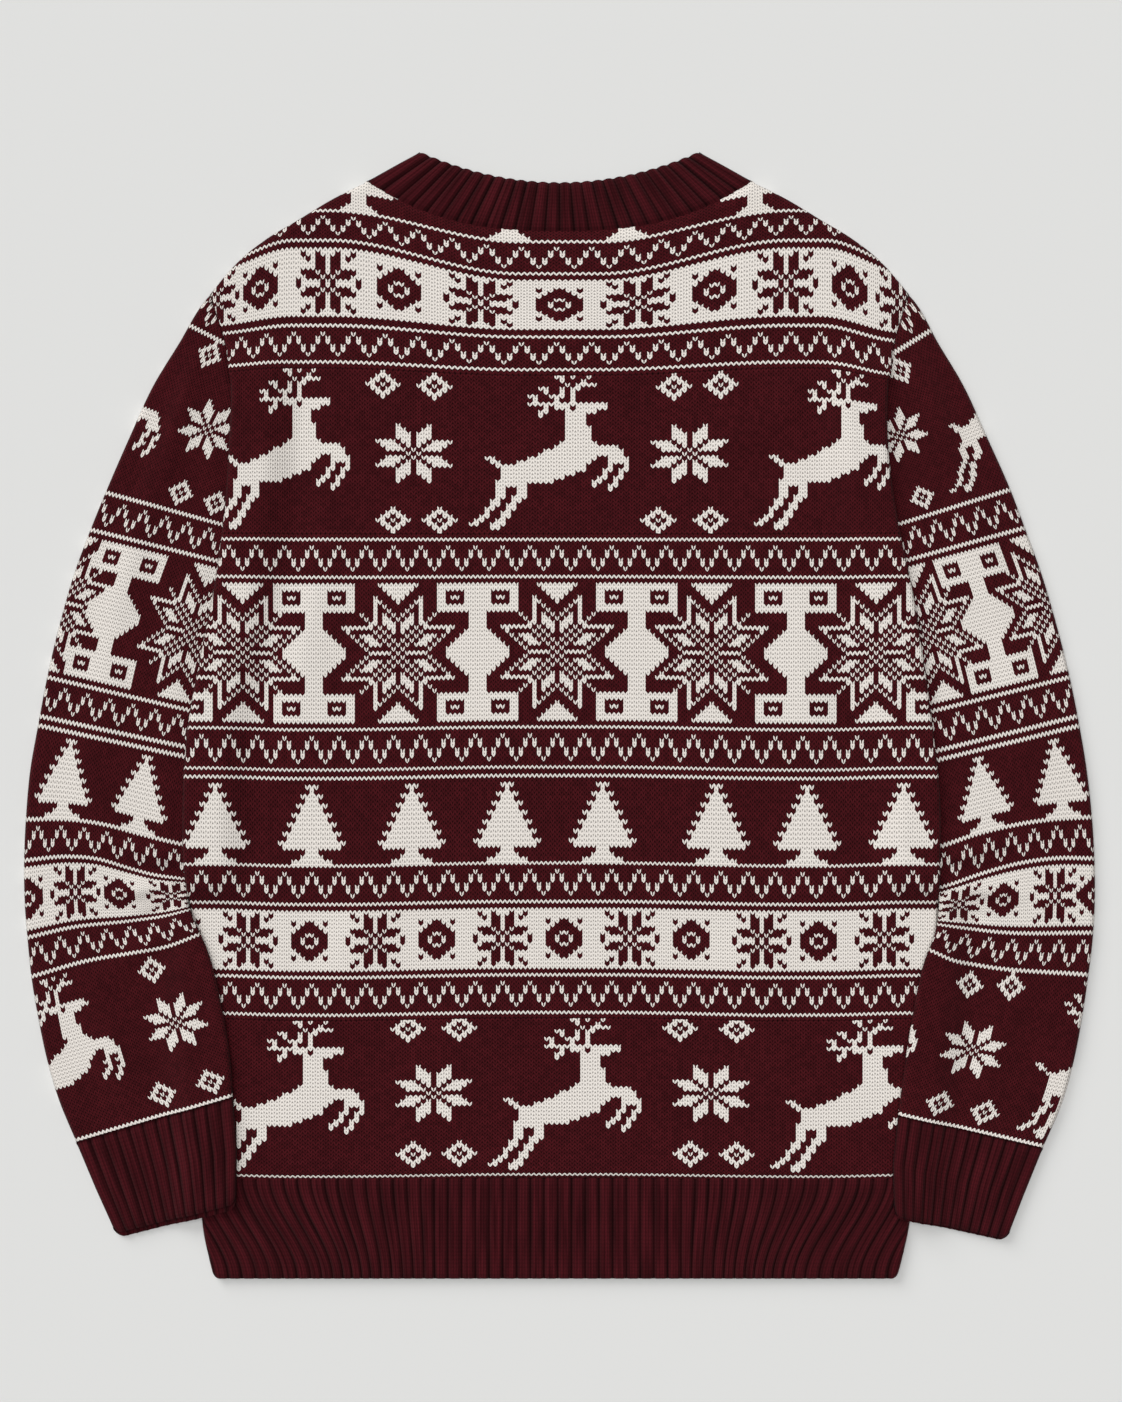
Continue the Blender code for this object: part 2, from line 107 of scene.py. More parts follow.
# Sleeve sections: outer edge x and y, inner edge height, and how far the inner edge lies
# inside the body's edge.
SLEEVES = {
    -1: (
        (-224.5, 262.9, 123.8, 20.0),
        (-241.0, 236.0, 108.0, 20.0),
        (-256.9, 210.0, 92.1, 20.0),
        (-272.1, 177.2, 73.0, 20.0),
        (-287.3, 142.2, 55.2, 20.0),
        (-298.1, 115.6, 41.3, 20.0),
        (-307.7, 89.5, 27.3, 20.0),
        (-316.5, 59.1, 9.5, 20.0),
        (-324.0, 27.9, -12.7, 19.0),
        (-330.8, -7.6, -38.1, 17.0),
        (-335.6, -34.9, -57.1, 15.0),
        (-338.2, -63.5, -78.1, 10.0),
        (-339.4, -88.9, -95.9, 3.0),
        (-339.5, -104.8, -107.3, 0.6),
        (-338.8, -123.8, -119.0, 0.6),
        (-337.2, -143.0, -131.0, 4.0),
        (-334.8, -166.4, -150.0, 11.0),
        (-330.3, -193.0, -178.0, 17.5),
        (-324.6, -219.7, -203.8, 21.5),
        (-317.2, -244.5, -222.9, 23.0),
        (-306.4, -270.5, -241.3, 23.2),
    ),
    1: (
        (224.5, 262.9, 123.8, 20.0),
        (240.0, 236.0, 108.0, 20.0),
        (255.5, 210.0, 92.1, 20.0),
        (270.6, 177.2, 73.0, 20.0),
        (285.6, 143.5, 55.2, 20.0),
        (296.4, 114.9, 41.3, 20.0),
        (305.6, 89.5, 27.3, 20.0),
        (314.6, 59.1, 9.5, 20.0),
        (322.6, 27.9, -12.7, 19.0),
        (329.8, -7.6, -38.1, 17.0),
        (334.3, -34.9, -57.1, 15.0),
        (337.5, -63.5, -78.1, 10.0),
        (339.1, -88.9, -95.9, 3.0),
        (339.5, -108.0, -108.0, 0.6),
        (339.1, -127.0, -120.5, 0.6),
        (337.6, -147.0, -135.0, 2.0),
        (335.2, -166.0, -156.8, 9.0),
        (331.0, -194.0, -188.0, 14.0),
        (326.2, -218.8, -209.6, 15.8),
        (318.4, -246.5, -231.8, 16.4),
        (306.4, -274.3, -252.7, 16.4),
    ),
}

# Cuff sections below the sleeve's last one: outer edge x and y, inner edge x and y.
CUFFS = {
    -1: ((-294.0, -300.4, -203.8, -274.0), (-280.0, -331.5, -204.4, -312.4)),
    1: ((294.2, -304.8, 210.6, -284.0), (283.0, -333.6, 211.6, -318.0)),
}

# Soft folds: middle x and y, direction in degrees from +X, half length, half width, height
# (below zero for a trough).
BACK_FOLDS = (
    (-150, 206, -38, 56, 13, 2.8),
    (148, 200, -142, 58, 13, 3.0),
    (-158, 60, 82, 80, 17, 2.3),
    (156, 30, 97, 92, 18, 2.5),
    (-130, -150, 74, 70, 19, 2.1),
    (126, -190, 102, 64, 18, 2.4),
    (-18, -10, 88, 110, 24, 1.5),
)
SLEEVE_FOLDS = {
    -1: (
        (-240, 190, -104, 44, 9, 3.0),
        (-264, 120, -106, 60, 11, 2.6),
        (-290, 0, -98, 60, 12, 2.2),
        (-259, -88, -16, 22, 5, 2.6),
        (-250, -99, -2, 20, 4, -2.6),
        (-262, -110, 10, 26, 5.5, 3.2),
        (-252, -124, 24, 18, 4, -2.2),
        (-262, -146, 38, 28, 7, 2.6),
        (-284, -206, -76, 40, 12, 2.4),
    ),
    1: (
        (240, 186, -76, 46, 9, 3.0),
        (266, 112, -72, 58, 11, 2.6),
        (292, -6, -82, 56, 12, 2.2),
        (262, -86, -162, 24, 5, 2.6),
        (253, -98, -176, 20, 4, -2.6),
        (264, -110, 172, 26, 5.5, 3.2),
        (254, -124, 160, 18, 4, -2.2),
        (266, -144, 146, 26, 7, 2.6),
        (278, -204, -104, 42, 12, 2.4),
    ),
}
SEAM_CALM = 22.0      # folds fade out over this distance from a seam or edge
ELBOW_CALM = 6.0      # and over this one at the elbow
ELBOW_Y = -110.0
ELBOW_REACH = 38.0
END_CALM_Y = 262.0    # they end at this height and at its opposite, and fade out before it
END_CALM = 30.0
EDGE_CALM = 4.0       # and beside the body's edge that lies on a sleeve
SLEEVE_SINK = 2.4     # a sleeve sinks by this beside the body's edge that lies on it
SLEEVE_SINK_WIDTH = 8.0
SLEEVE_SINK_FADE = 30.0
FAR = 1000.0          # a distance that stands for no seam near


def smooth(value):
    value = np.clip(value, 0.0, 1.0)
    return value * value * (3.0 - 2.0 * value)


def blend(start, end, share):
    return start + (end - start) * share


def spline(keys, values):
    """Smooth curve through values at rising or falling keys, held flat beyond its ends."""
    order = np.argsort(keys)
    keys = np.array(keys, float)[order]
    values = np.array(values, float)[order]
    slopes = np.gradient(values, keys)

    def read(at):
        at = np.clip(at, keys[0], keys[-1])
        i = np.clip(np.searchsorted(keys, at) - 1, 0, len(keys) - 2)
        span = keys[i + 1] - keys[i]
        t = (at - keys[i]) / span
        near = (2 * t**3 - 3 * t**2 + 1) * values[i] + (t**3 - 2 * t**2 + t) * span * slopes[i]
        far = (3 * t**2 - 2 * t**3) * values[i + 1] + (t**3 - t**2) * span * slopes[i + 1]
        return near + far

    return read


def column_of(table, index):
    return [row[index] for row in table]


BODY_EDGE = {
    -1: spline(column_of(BODY_SIDES, 0), column_of(BODY_SIDES, 1)),
    1: spline(column_of(BODY_SIDES, 0), column_of(BODY_SIDES, 2)),
}
SHOULDER_LINE = spline(column_of(SHOULDER, 0), column_of(SHOULDER, 1))
SHOULDER_END = SHOULDER[-1]
SLEEVE_OUTER = {
    side: spline([SHOULDER_END[1]] + column_of(rows, 1),
                 [side * SHOULDER_END[0]] + column_of(rows, 0))
    for side, rows in SLEEVES.items()
}


def fold_height(edge):
    """Half height of a folded edge at a distance in from the fold."""
    inward = np.clip(HALF - edge, 0.0, HALF)
    return np.sqrt(HALF**2 - inward**2)


def fold_relief(folds, x, y):
    rise = np.zeros_like(x)
    for fold_x, fold_y, degrees, half_length, half_width, height in folds:
        angle = math.radians(degrees)
        along = (x - fold_x) * math.cos(angle) + (y - fold_y) * math.sin(angle)
        across = (y - fold_y) * math.cos(angle) - (x - fold_x) * math.sin(angle)
        rise += height * np.exp(-(along / half_length)**2 - (across / half_width)**2)
    return rise


def body_lift(y, edge):
    """Lift of the body where its edge lies on a sleeve."""
    rise = smooth((BODY_RISE[0] - y) / (BODY_RISE[0] - BODY_RISE[1]))
    drop = smooth((y - ELBOW_CROSS[1]) / (ELBOW_CROSS[0] - ELBOW_CROSS[1]))
    return OVERLAP_LIFT * rise * drop * smooth((TUCK + 1.0 + LIFT_FADE - edge) / LIFT_FADE)


def sleeve_lift(x, y, side):
    """Lift of a sleeve or cuff where it lies on the body."""
    inside = side * (BODY_EDGE[side](y) - x)
    below = smooth((ELBOW_CROSS[0] - y) / (ELBOW_CROSS[0] - ELBOW_CROSS[1]))
    return OVERLAP_LIFT * below * smooth((inside + 1.0 + LIFT_FADE) / LIFT_FADE)


def neck_seam(x, front):
    lowest = FRONT_SEAM_Y if front else BACK_SEAM_Y
    power = FRONT_SEAM_POWER if front else BACK_SEAM_POWER
    share = np.clip(np.abs(x) / NECK_HALF, 0.0, 1.0)
    return blend(lowest, NECK_SHOULDER_Y, share**power)


def panel_top(x, front):
    """Height of a panel's upper edge: the neck seam between its corners, then the shoulder."""
    return np.where(np.abs(x) >= NECK_HALF, SHOULDER_LINE(np.abs(x)), neck_seam(x, front))


def sleeve_inner(y, side):
    """X of a sleeve's inner edge: the armhole line, then the inner fold."""
    rows = SLEEVES[side]
    tuck = (TUCK + ARMHOLE_GAP) * smooth((TUCK_START - y) / (TUCK_START - TUCK_FULL)) - ARMHOLE_GAP
    inside = spline(column_of(rows, 2), column_of(rows, 3))(y)
    return BODY_EDGE[side](y) - side * np.where(y > rows[0][2], tuck, inside)


# -------- stitch charts

# Small repeats, charted: '#' is a stitch in the other colour than its ground.
DIAMOND = (
    "...#...",
    "..###..",
    ".##.##.",
    "##.#.##",
    ".##.##.",
    "..###..",
    "...#...",
)
RING = (
    "#..##..#",
    "..####..",
    ".######.",
    "###..###",
    "##.##.##",
    "##.##.##",
    "###..###",
    ".######.",
    "..####..",
    "#..##..#",
)
# One quarter of the snowflake and of the rose, from the middle outward and upward.
SNOWFLAKE_QUARTER = (
    ".#....#",
    "#.###..",
    ".#.###.",
    ".##....",
    ".##....",
    ".##.#..",
    "..#..#.",
)
ROSE_QUARTER = (
    "#.#####......",
    ".#.....#.....",
    "#.#.###.#....",
    ".#.#.###.#...",
    "..#.#.###.#..",
    ".#.#.#.....#.",
    ".##.#.#######",
    ".###.##......",
    "#.##.#.#.....",
    ".#.#.#..#....",
    "..#..#.......",
    "...#.#.......",
    "....##.......",
    ".....#.......",
)
TREE_HALF_WIDTHS = (1, 0, 2, 1, 3, 2, 4, 3, 5, 4, 6, 5, 7, 6, 1, 2, 4)
# The trees at the neck: lowest tiers, trunk and foot.
STUMP_HALF_WIDTHS = (5, 4, 6, 5, 7, 6, 1, 1, 1, 2, 3)

# A leaping deer, drawn as tapering limbs: column, row and half width at each joint. Columns
# count from the eye to the right and rows down from the row above the band; half widths are
# in rows.
STITCH_ASPECT = 1.37  # width of a stitch over the height of a row
DEER_LIMBS = (
    ((0.4, 10.6, 2.5), (0.6, 13.0, 2.7), (1.1, 16.2, 3.4), (1.0, 19.2, 4.6), (0.4, 21.4, 4.4),
     (-4.9, 24.3, 4.0), (-11.0, 26.4, 3.2)),
    ((-0.1, 9.5, 2.0), (5.6, 8.5, 1.0)),
    ((-13.2, 23.9, 0.9), (-15.6, 22.2, 0.7)),
    ((-12.9, 28.5, 1.6), (-13.8, 31.8, 1.4), (-15.0, 34.5, 0.9), (-16.6, 37.0, 0.7),
     (-18.3, 38.2, 0.9), (-18.6, 39.4, 0.7)),
    ((-8.8, 29.5, 1.2), (-9.6, 31.4, 1.3), (-11.6, 34.4, 1.2), (-12.6, 37.2, 1.1),
     (-14.2, 39.4, 1.5)),
    ((4.2, 20.6, 1.5), (6.4, 19.7, 1.4), (8.3, 20.7, 1.6), (9.6, 22.2, 1.2), (9.7, 24.2, 0.9),
     (8.8, 26.3, 0.9), (7.8, 28.2, 0.8), (6.7, 30.0, 0.7)),
    ((7.4, 22.5, 1.1), (6.1, 25.8, 0.8), (5.0, 27.6, 0.8), (4.1, 28.8, 0.7)),
)
# Its antlers, one stitch thick: column and row at each bend.
ANTLERS = (
    ((-1, 8), (-8, 8)),
    ((-3, 9), (-1, 9)),
    ((-7, 8), (-7, 6), (-8, 6)),
    ((-3, 8), (-3, 6), (-4, 6)),
    ((-2, 6), (-2, 4)),
    ((-5, 8), (-5, 10), (-6, 10), (-6, 11)),
    ((-6, 4), (-5, 4), (-5, 5)),
    ((-3, 1), (-2, 1), (-2, 2), (-1, 3)),
    ((0, 8), (0, 4)),
    ((1, 4), (1, 3), (2, 3), (2, 2)),
    ((3, 3), (4, 3)),
    ((0, 1), (0, 1)),
    ((3, 1), (3, 1)),
)
ANTLER_HALF_WIDTH = 0.55
DEER_EYE = (0, 9)


def from_lines(lines):
    return np.array([[mark == "#" for mark in line] for line in lines])


def from_quarter(lines, middle_row):
    """Whole motif from its upper right quarter, with or without a row of its own midway."""
    right = from_lines(lines)[::-1]
    upper = np.hstack([right[:, :0:-1], right])
    return np.vstack([upper, upper[-2::-1] if middle_row else upper[::-1]])


def draw_star(reach=4, petal=3):
    """Eight slanted petals round a small ring of single stitches."""
    size = reach + petal
    x, y = np.meshgrid(np.arange(-size, size + 1), np.arange(-size, size + 1))
    across, along = np.minimum(abs(x), abs(y)), np.maximum(abs(x), abs(y))
    petals = (across >= 1) & (across <= petal) & (along > across) & (along <= across + reach)
    return petals | (abs(x) + abs(y) == 1)


def draw_tree(half_widths):
    x = np.arange(-7, 8)
    return np.array([abs(x) <= half for half in half_widths])


def draw_limb(marks, x, y, start, end):
    """Mark the stitches within a tapering limb between two joints."""
    (x0, y0, half0), (x1, y1, half1) = start, end
    run_x, run_y = (x1 - x0) * STITCH_ASPECT, y1 - y0
    away_x, away_y = (x - x0) * STITCH_ASPECT, y - y0
    length = max(run_x**2 + run_y**2, 1e-6)
    share = np.clip((away_x * run_x + away_y * run_y) / length, 0.0, 1.0)
    distance = np.hypot(away_x - share * run_x, away_y - share * run_y)
    marks |= distance <= blend(half0, half1, share)


def draw_deer(columns=(-21, 13), rows=43):
    x, y = np.meshgrid(np.arange(columns[0], columns[1]), np.arange(rows))
    marks = np.zeros(x.shape, bool)
    antlers = [[(*bend, ANTLER_HALF_WIDTH) for bend in bends] for bends in ANTLERS]
    for joints in (*DEER_LIMBS, *antlers):
        for start, end in zip(joints, joints[1:]):
            draw_limb(marks, x, y, start, end)
    marks[DEER_EYE[1], DEER_EYE[0] - columns[0]] = False
    return marks


def draw_beam():
    """Tall panel of the rose band: bars with small squares, a stem and a lozenge between."""
    x, y = np.meshgrid(np.arange(-9, 9), np.arange(-16, 17))
    far, high = abs(x + 0.5), abs(y)
    bars = high >= 10
    squares = (far > 3) & (far < 7) & (high >= 12) & (high <= 14)
    dots = (far > 4) & (far < 6) & (high == 13)
    stem = far < 2
    lozenge = far < np.minimum(7, 8 - high)
    return (bars & ~squares) | dots | stem | lozenge


def draw_wedge():
    """Small triangle above a rose, pointing down to it."""
    x = np.arange(-4, 5)
    return np.array([abs(x) <= half for half in (4, 3, 2, 1, 0)])


MOTIFS = {
    "diamond": from_lines(DIAMOND),
    "ring": from_lines(RING),
    "snowflake": from_quarter(SNOWFLAKE_QUARTER, middle_row=False),
    "rose": from_quarter(ROSE_QUARTER, middle_row=True),
    "wedge": draw_wedge(),
    "wedge_up": draw_wedge()[::-1],
    "beam": draw_beam(),
    "star": draw_star(),
    "tree": draw_tree(TREE_HALF_WIDTHS),
    "stump": draw_tree(STUMP_HALF_WIDTHS),
    "deer": draw_deer(),
}
ANCHOR = {"deer": (21, 21)}   # column and row of the motif's anchor; the middle for the rest


def stamp(chart, motif, row, column, value, lean=0.0):
    """Set the motif's stitches to a value, its anchor at a row and column of the chart.

    A lean moves each row below the anchor by that many stitches more to the right.
    """
    marks = MOTIFS[motif]
    anchor_column, anchor_row = ANCHOR.get(motif, (marks.shape[1] // 2, marks.shape[0] // 2))
    down, across = np.nonzero(marks)
    down = down - anchor_row
    across = column + across - anchor_column + np.round(lean * down).astype(int)
    down = row + down
    inside = (down >= 0) & (down < chart.shape[0]) & (across >= 0) & (across < chart.shape[1])
    chart[down[inside], across[inside]] = value


def zigzag(columns, peak):
    """Eight rows with a thin zigzag: one stitch at its peaks and feet, two in each step."""
    marks = np.zeros((8, len(columns)), bool)
    step = abs((columns - peak + 3) % 6 - 3)
    for distance, rows in enumerate(((1,), (2, 3), (4, 5), (6,))):
        for row in rows:
            marks[row] |= step == distance
    return marks


# -------- bands of colour work

# Bands from the neck to the hem, in four parts that have stitches of their own width: kind,
# rows, height of the lower edge at the middle of the back. Parts meet where deer bands end.
YOKE_TOP = 323.9
YOKE_BANDS = (
    ("feet", 11, 300.8),
    ("line", 1, 298.5),
    ("zigzag", 8, 280.5),
    ("line", 1, 278.3),
    ("plain", 1, 275.6),
    ("white", 16, 243.8),
    ("plain", 2, 240.5),
    ("line", 1, 238.3),
    ("zigzag", 8, 219.8),
    ("line", 1, 217.6),
    ("plain", 1, 215.2),
)
CHEST_BANDS = (
    ("deer", 41, 114.7),
)
WAIST_BANDS = (
    ("plain", 1, 112.3),
    ("line", 1, 110.0),
    ("zigzag", 8, 88.8),
    ("line", 1, 86.5),
    ("lattice", 35, -6.4),
    ("line", 1, -8.6),
    ("zigzag", 8, -31.8),
    ("line", 1, -33.9),
    ("plain", 1, -37.1),
    ("line", 1, -39.5),
    ("trees", 18, -92.5),
    ("line", 1, -94.7),
    ("zigzag", 8, -116.8),
    ("line", 1, -119.2),
    ("plain", 1, -121.9),
    ("white", 16, -160.7),
    ("plain", 1, -163.2),
    ("line", 1, -165.6),
    ("zigzag", 8, -187.1),
    ("line", 1, -189.4),
    ("plain", 1, -191.7),
)
HIP_BANDS = (
    ("deer", 40, -288.0),
    ("plain", 1, -289.9),
    ("line", 1, -291.9),
    ("plain", 1, -293.4),
)


def band_starts(bands):
    starts, row = [], 0
    for kind, rows, _ in bands:
        starts.append((kind, row, rows))
        row += rows
    return starts, row


# Where the motifs stand on each piece, band by band from the top: x of each motif's middle,
# or of one peak of a zigzag. In the deer bands: x, rows from the top of the band, and a lean
# where the stitches don't run along the sleeve's fold.
YOKE_MOTIFS = (
    {"stump": (-126.4, -31.4, 43.0, 124.0)},
    -0.6,
    {"ring": (-187.6, -101.0, 0.3, 99.0, 184.5),
     "snowflake": (-218.0, -147.8, -49.2, 48.6, 145.0, 217.0)},
    -2.0,
)
CHEST_MOTIFS = (
    {"deer": ((-166.0, 20), (8.8, 20), (182.6, 20)),
     "diamond": ((-113.3, 3), (-79.7, 3), (71.1, 3), (101.9, 3),
                 (-105.7, 37), (-74.6, 37), (63.8, 37), (95.6, 37)),
     "star": ((-92.4, 20), (82.9, 20))},
)
WAIST_MOTIFS = (
    -1.0,
    {"rose": (-200.8, -101.3, -2.2, 96.8, 200.3),
     "beam": (-152.8, -50.4, 50.2, 151.0, -244.0, 252.0)},
    -1.0,
    {"tree": (-217.5, -157.2, -94.3, -32.7, 27.6, 99.4, 157.8, 218.1)},
    -1.0,
    {"snowflake": (-197.8, -117.2, -35.9, 45.4, 127.3, 206.7),
     "ring": (-156.5, -75.9, 3.5, 84.8, 165.4, -238.0)},
    -1.0,
)
HIP_MOTIFS = (
    {"deer": ((-158.5, 20), (18.4, 20), (196.2, 20)),
     "diamond": ((-96.2, 2), (-64.5, 2), (77.2, 2), (111.4, 2),
                 (-93.7, 35), (-61.9, 35), (81.6, 35), (112.7, 35)),
     "star": ((-78.4, 19), (94.9, 19))},
)


def each_place(places):
    """Pairs of a motif and one of its places."""
    return [(motif, place) for motif, spots in places.items() for place in spots]


class Knit:
    """A sheet of stitches: plan points of its row and column lines, and its chart."""

    def __init__(self, bands, columns):
        self.bands, self.rows = band_starts(bands)
        self.columns = columns
        self.chart = np.zeros((self.rows, columns), bool)

    def set_points(self, x, y):
        """Plan points at each row line (first index) and half-column line (second)."""
        self.x, self.y = x, y

    def column_at(self, x, row):
        """Column whose middle lies nearest to an x in a row."""
        line = (self.x[row, 1::2] + self.x[row + 1, 1::2]) / 2
        return int(np.argmin(abs(line - x)))

    def knit(self, motifs):
        """Fill in the chart from the motifs of each band."""
        motifs = iter(motifs)
        for kind, start, rows in self.bands:
            middle = start + rows // 2
            if kind == "line":
                self.chart[start] = True
            elif kind == "zigzag":
                peak = self.column_at(next(motifs), middle)
                self.chart[start:start + rows] = zigzag(np.arange(self.columns), peak)
            elif kind == "white":
                self.chart[start:start + rows] = True
                for motif, x in each_place(next(motifs)):
                    stamp(self.chart, motif, middle, self.column_at(x, middle), False)
            elif kind in ("trees", "feet"):
                for motif, x in each_place(next(motifs)):
                    row = start + rows - MOTIFS[motif].shape[0] // 2 - 1
                    stamp(self.chart, motif, row, self.column_at(x, start + rows - 2), True)
            elif kind == "lattice":
                for motif, x in each_place(next(motifs)):
                    column = self.column_at(x, middle)
                    stamp(self.chart, motif, middle, column, True)
                    if motif == "rose":
                        stamp(self.chart, "wedge", start + 3, column, True)
                        stamp(self.chart, "wedge_up", start + rows - 4, column, True)
            elif kind == "deer":
                for motif, (x, row, *lean) in each_place(next(motifs)):
                    column = self.column_at(x, start + row)
                    stamp(self.chart, motif, start + row, column, True, *lean)


V_DEPTH = 0.28        # half of how far a stitch's middle hangs below its sides, in rows


def drop_stitch_middles(x, y):
    """Bend each row line into a row of Vs: sides of a stitch up, its middle down."""
    along_x = np.gradient(x, axis=0)
    along_y = np.gradient(y, axis=0)
    shift = np.where(np.arange(x.shape[1]) % 2 == 0, -V_DEPTH, V_DEPTH)
    return x + along_x * shift, y + along_y * shift


def open_sides(chart):
    """For each leg of the stitches, whether cream ends beside, above and below it."""
    around = np.pad(chart, 1)
    left, right = ~around[1:-1, :-2], ~around[1:-1, 2:]
    above, below = ~around[:-2, 1:-1], ~around[2:, 1:-1]
    beside = np.stack([left, right], axis=-1).reshape(chart.shape[0], -1)
    ends = [beside, np.repeat(above, 2, axis=1), np.repeat(below, 2, axis=1)]
    return np.stack(ends, axis=-1) & np.repeat(chart, 2, axis=1)[:, :, None]


# -------- meshes

def grid_faces(rows, columns):
    """Quads of a grid of points with that many cells, in reading order of its cells."""
    line = columns + 1
    start = (np.arange(rows)[:, None] * line + np.arange(columns)).ravel()
    return np.stack([start, start + line, start + line + 1, start + 1], axis=1)


def face_areas(points, faces):
    a, b, c, d = (points[faces[:, i]] for i in range(4))
    return np.linalg.norm(np.cross(c - a, d - b), axis=1) / 2


LEAST_FACE = 0.02     # smaller faces, squeezed flat at an outline, are left out


class Shell:
    """Grids of quads gathered into one mesh, with two UV maps and values for each face."""

    def __init__(self):
        self.points, self.faces, self.stitch, self.bake = [], [], [], []
        self.cream, self.open = [], []
        self.count = 0

    def add(self, x, y, z, stitch_u, stitch_v, place, chart=None, flip=False):
        """Add a grid. place is the low and high corner of its part of the baked map."""
        rows, columns = x.shape[0] - 1, x.shape[1] - 1
        points = np.stack([x, y, z], axis=-1).reshape(-1, 3)
        faces = grid_faces(rows, columns)
        u = np.broadcast_to(stitch_u, x.shape).reshape(-1)
        v = np.broadcast_to(stitch_v, x.shape).reshape(-1)
        keep = face_areas(points, faces) > LEAST_FACE
        faces = faces[keep]
        if chart is not None:
            self.cream.append(np.repeat(chart, 2, axis=1).reshape(-1)[keep])
            self.open.append(open_sides(chart).reshape(-1, 3)[keep])
        if flip:
            faces = faces[:, ::-1]
        (low_u, low_v), (high_u, high_v) = place
        column_share = np.broadcast_to(np.linspace(0, 1, columns + 1), x.shape).reshape(-1)
        row_share = np.broadcast_to(np.linspace(1, 0, rows + 1)[:, None], x.shape).reshape(-1)
        self.bake.append(np.stack([blend(low_u, high_u, column_share),
                                   blend(low_v, high_v, row_share)], axis=1)[faces])
        self.stitch.append(np.stack([u, v], axis=1)[faces])
        self.faces.append(faces + self.count)
        self.points.append(points)
        self.count += len(points)

    def build(self, name, material):
        points, faces = np.concatenate(self.points), np.concatenate(self.faces)
        used, index = np.unique(faces, return_inverse=True)
        points, faces = points[used], index.reshape(faces.shape)
        mesh = bpy.data.meshes.new(name)
        mesh.vertices.add(len(points))
        mesh.vertices.foreach_set("co", (points * MM).astype(np.float32).ravel())
        mesh.loops.add(faces.size)
        mesh.loops.foreach_set("vertex_index", faces.astype(np.int32).ravel())
        mesh.polygons.add(len(faces))
        mesh.polygons.foreach_set("loop_start", np.arange(0, faces.size, 4, dtype=np.int32))
        mesh.update(calc_edges=True)
        for label, data in (("OFBake", self.bake), ("Stitch", self.stitch)):
            layer = mesh.uv_layers.new(name=label)
            layer.uv.foreach_set("vector", np.concatenate(data).astype(np.float32).ravel())
        if self.cream:
            cream = mesh.attributes.new("cream", "FLOAT", "FACE")
            cream.data.foreach_set("value", np.concatenate(self.cream).astype(np.float32))
            ends = mesh.attributes.new("open", "FLOAT_VECTOR", "FACE")
            ends.data.foreach_set("vector", np.concatenate(self.open).astype(np.float32).ravel())
        mesh.shade_smooth()
        mesh.materials.append(material)
        piece = bpy.data.objects.new(name, mesh)
        bpy.context.scene.collection.objects.link(piece)
        return piece


# -------- body panels

# The parts of a panel: bands, motifs, columns on each side of the middle, width of a stitch
# at the middle, and its narrowing with the cube of the column.
PANEL_PARTS = (
    (YOKE_BANDS, YOKE_MOTIFS, 73, 3.715, 1.052e-4),
    (CHEST_BANDS, CHEST_MOTIFS, 72, 3.40, 5.5e-5),
    (WAIST_BANDS, WAIST_MOTIFS, 86, 2.877, 0.0),
    (HIP_BANDS, HIP_MOTIFS, 74, 3.25, 0.0),
)
LINE_THINNING = 0.15  # a single cream row is narrower by this on both sides
COURSE_BEND = (       # rise of the courses toward the armholes: height, rise
    (323.9, 19.7),
    (299.7, 19.7),
    (277.5, 20.9),
    (260.4, 14.0),
    (243.8, 8.3),
    (218.4, 4.8),
    (181.0, 1.9),
    (111.1, 0.0),
    (60.0, -1.0),
    (-290.0, -1.5),
)
# Where they rise and fall back, by distance from the middle: start and width.
COURSE_RISE_AT = (25.4, 120.7)
COURSE_FALL_AT = (168.3, 54.0)
COURSE_FALL = 0.75    # share of the rise that they fall back by
COURSE_SAG = 5.3      # the courses sag beside the right armhole
COURSE_SAG_HEIGHT = (224.0, 42.0)    # middle and half height of the sag
COURSE_SAG_AT = (162.0, 48.0)        # x of its start, and width
SEWN_FADE = 8.0       # the sewn armhole turns into a folded edge over this height
SEAM_LAP = 0.8        # a panel's edge runs this far under the piece that is sewn to it
SEAM_DIP = 2.0
SEAM_DIP_WIDTH = 1.7


def course_height(middle_height, x):
    """Height of a course at an x, given its height at the middle of the back."""
    rise = spline(column_of(COURSE_BEND, 0), column_of(COURSE_BEND, 1))(middle_height)
    fall = COURSE_FALL * smooth((abs(x) - COURSE_FALL_AT[0]) / COURSE_FALL_AT[1])
    shape = smooth((abs(x) - COURSE_RISE_AT[0]) / COURSE_RISE_AT[1]) * (1.0 - fall)
    away = (middle_height - COURSE_SAG_HEIGHT[0]) / COURSE_SAG_HEIGHT[1]
    sag = COURSE_SAG * np.exp(-away**2) * smooth((x - COURSE_SAG_AT[0]) / COURSE_SAG_AT[1])
    return middle_height + rise * shape - sag


def row_heights(top, bands):
    heights = [top]
    for kind, rows, end in bands:
        if kind == "line":
            heights[-1] -= LINE_THINNING
            end += LINE_THINNING
        heights += list(np.linspace(heights[-1], end, rows + 1)[1:])
    return np.array(heights)


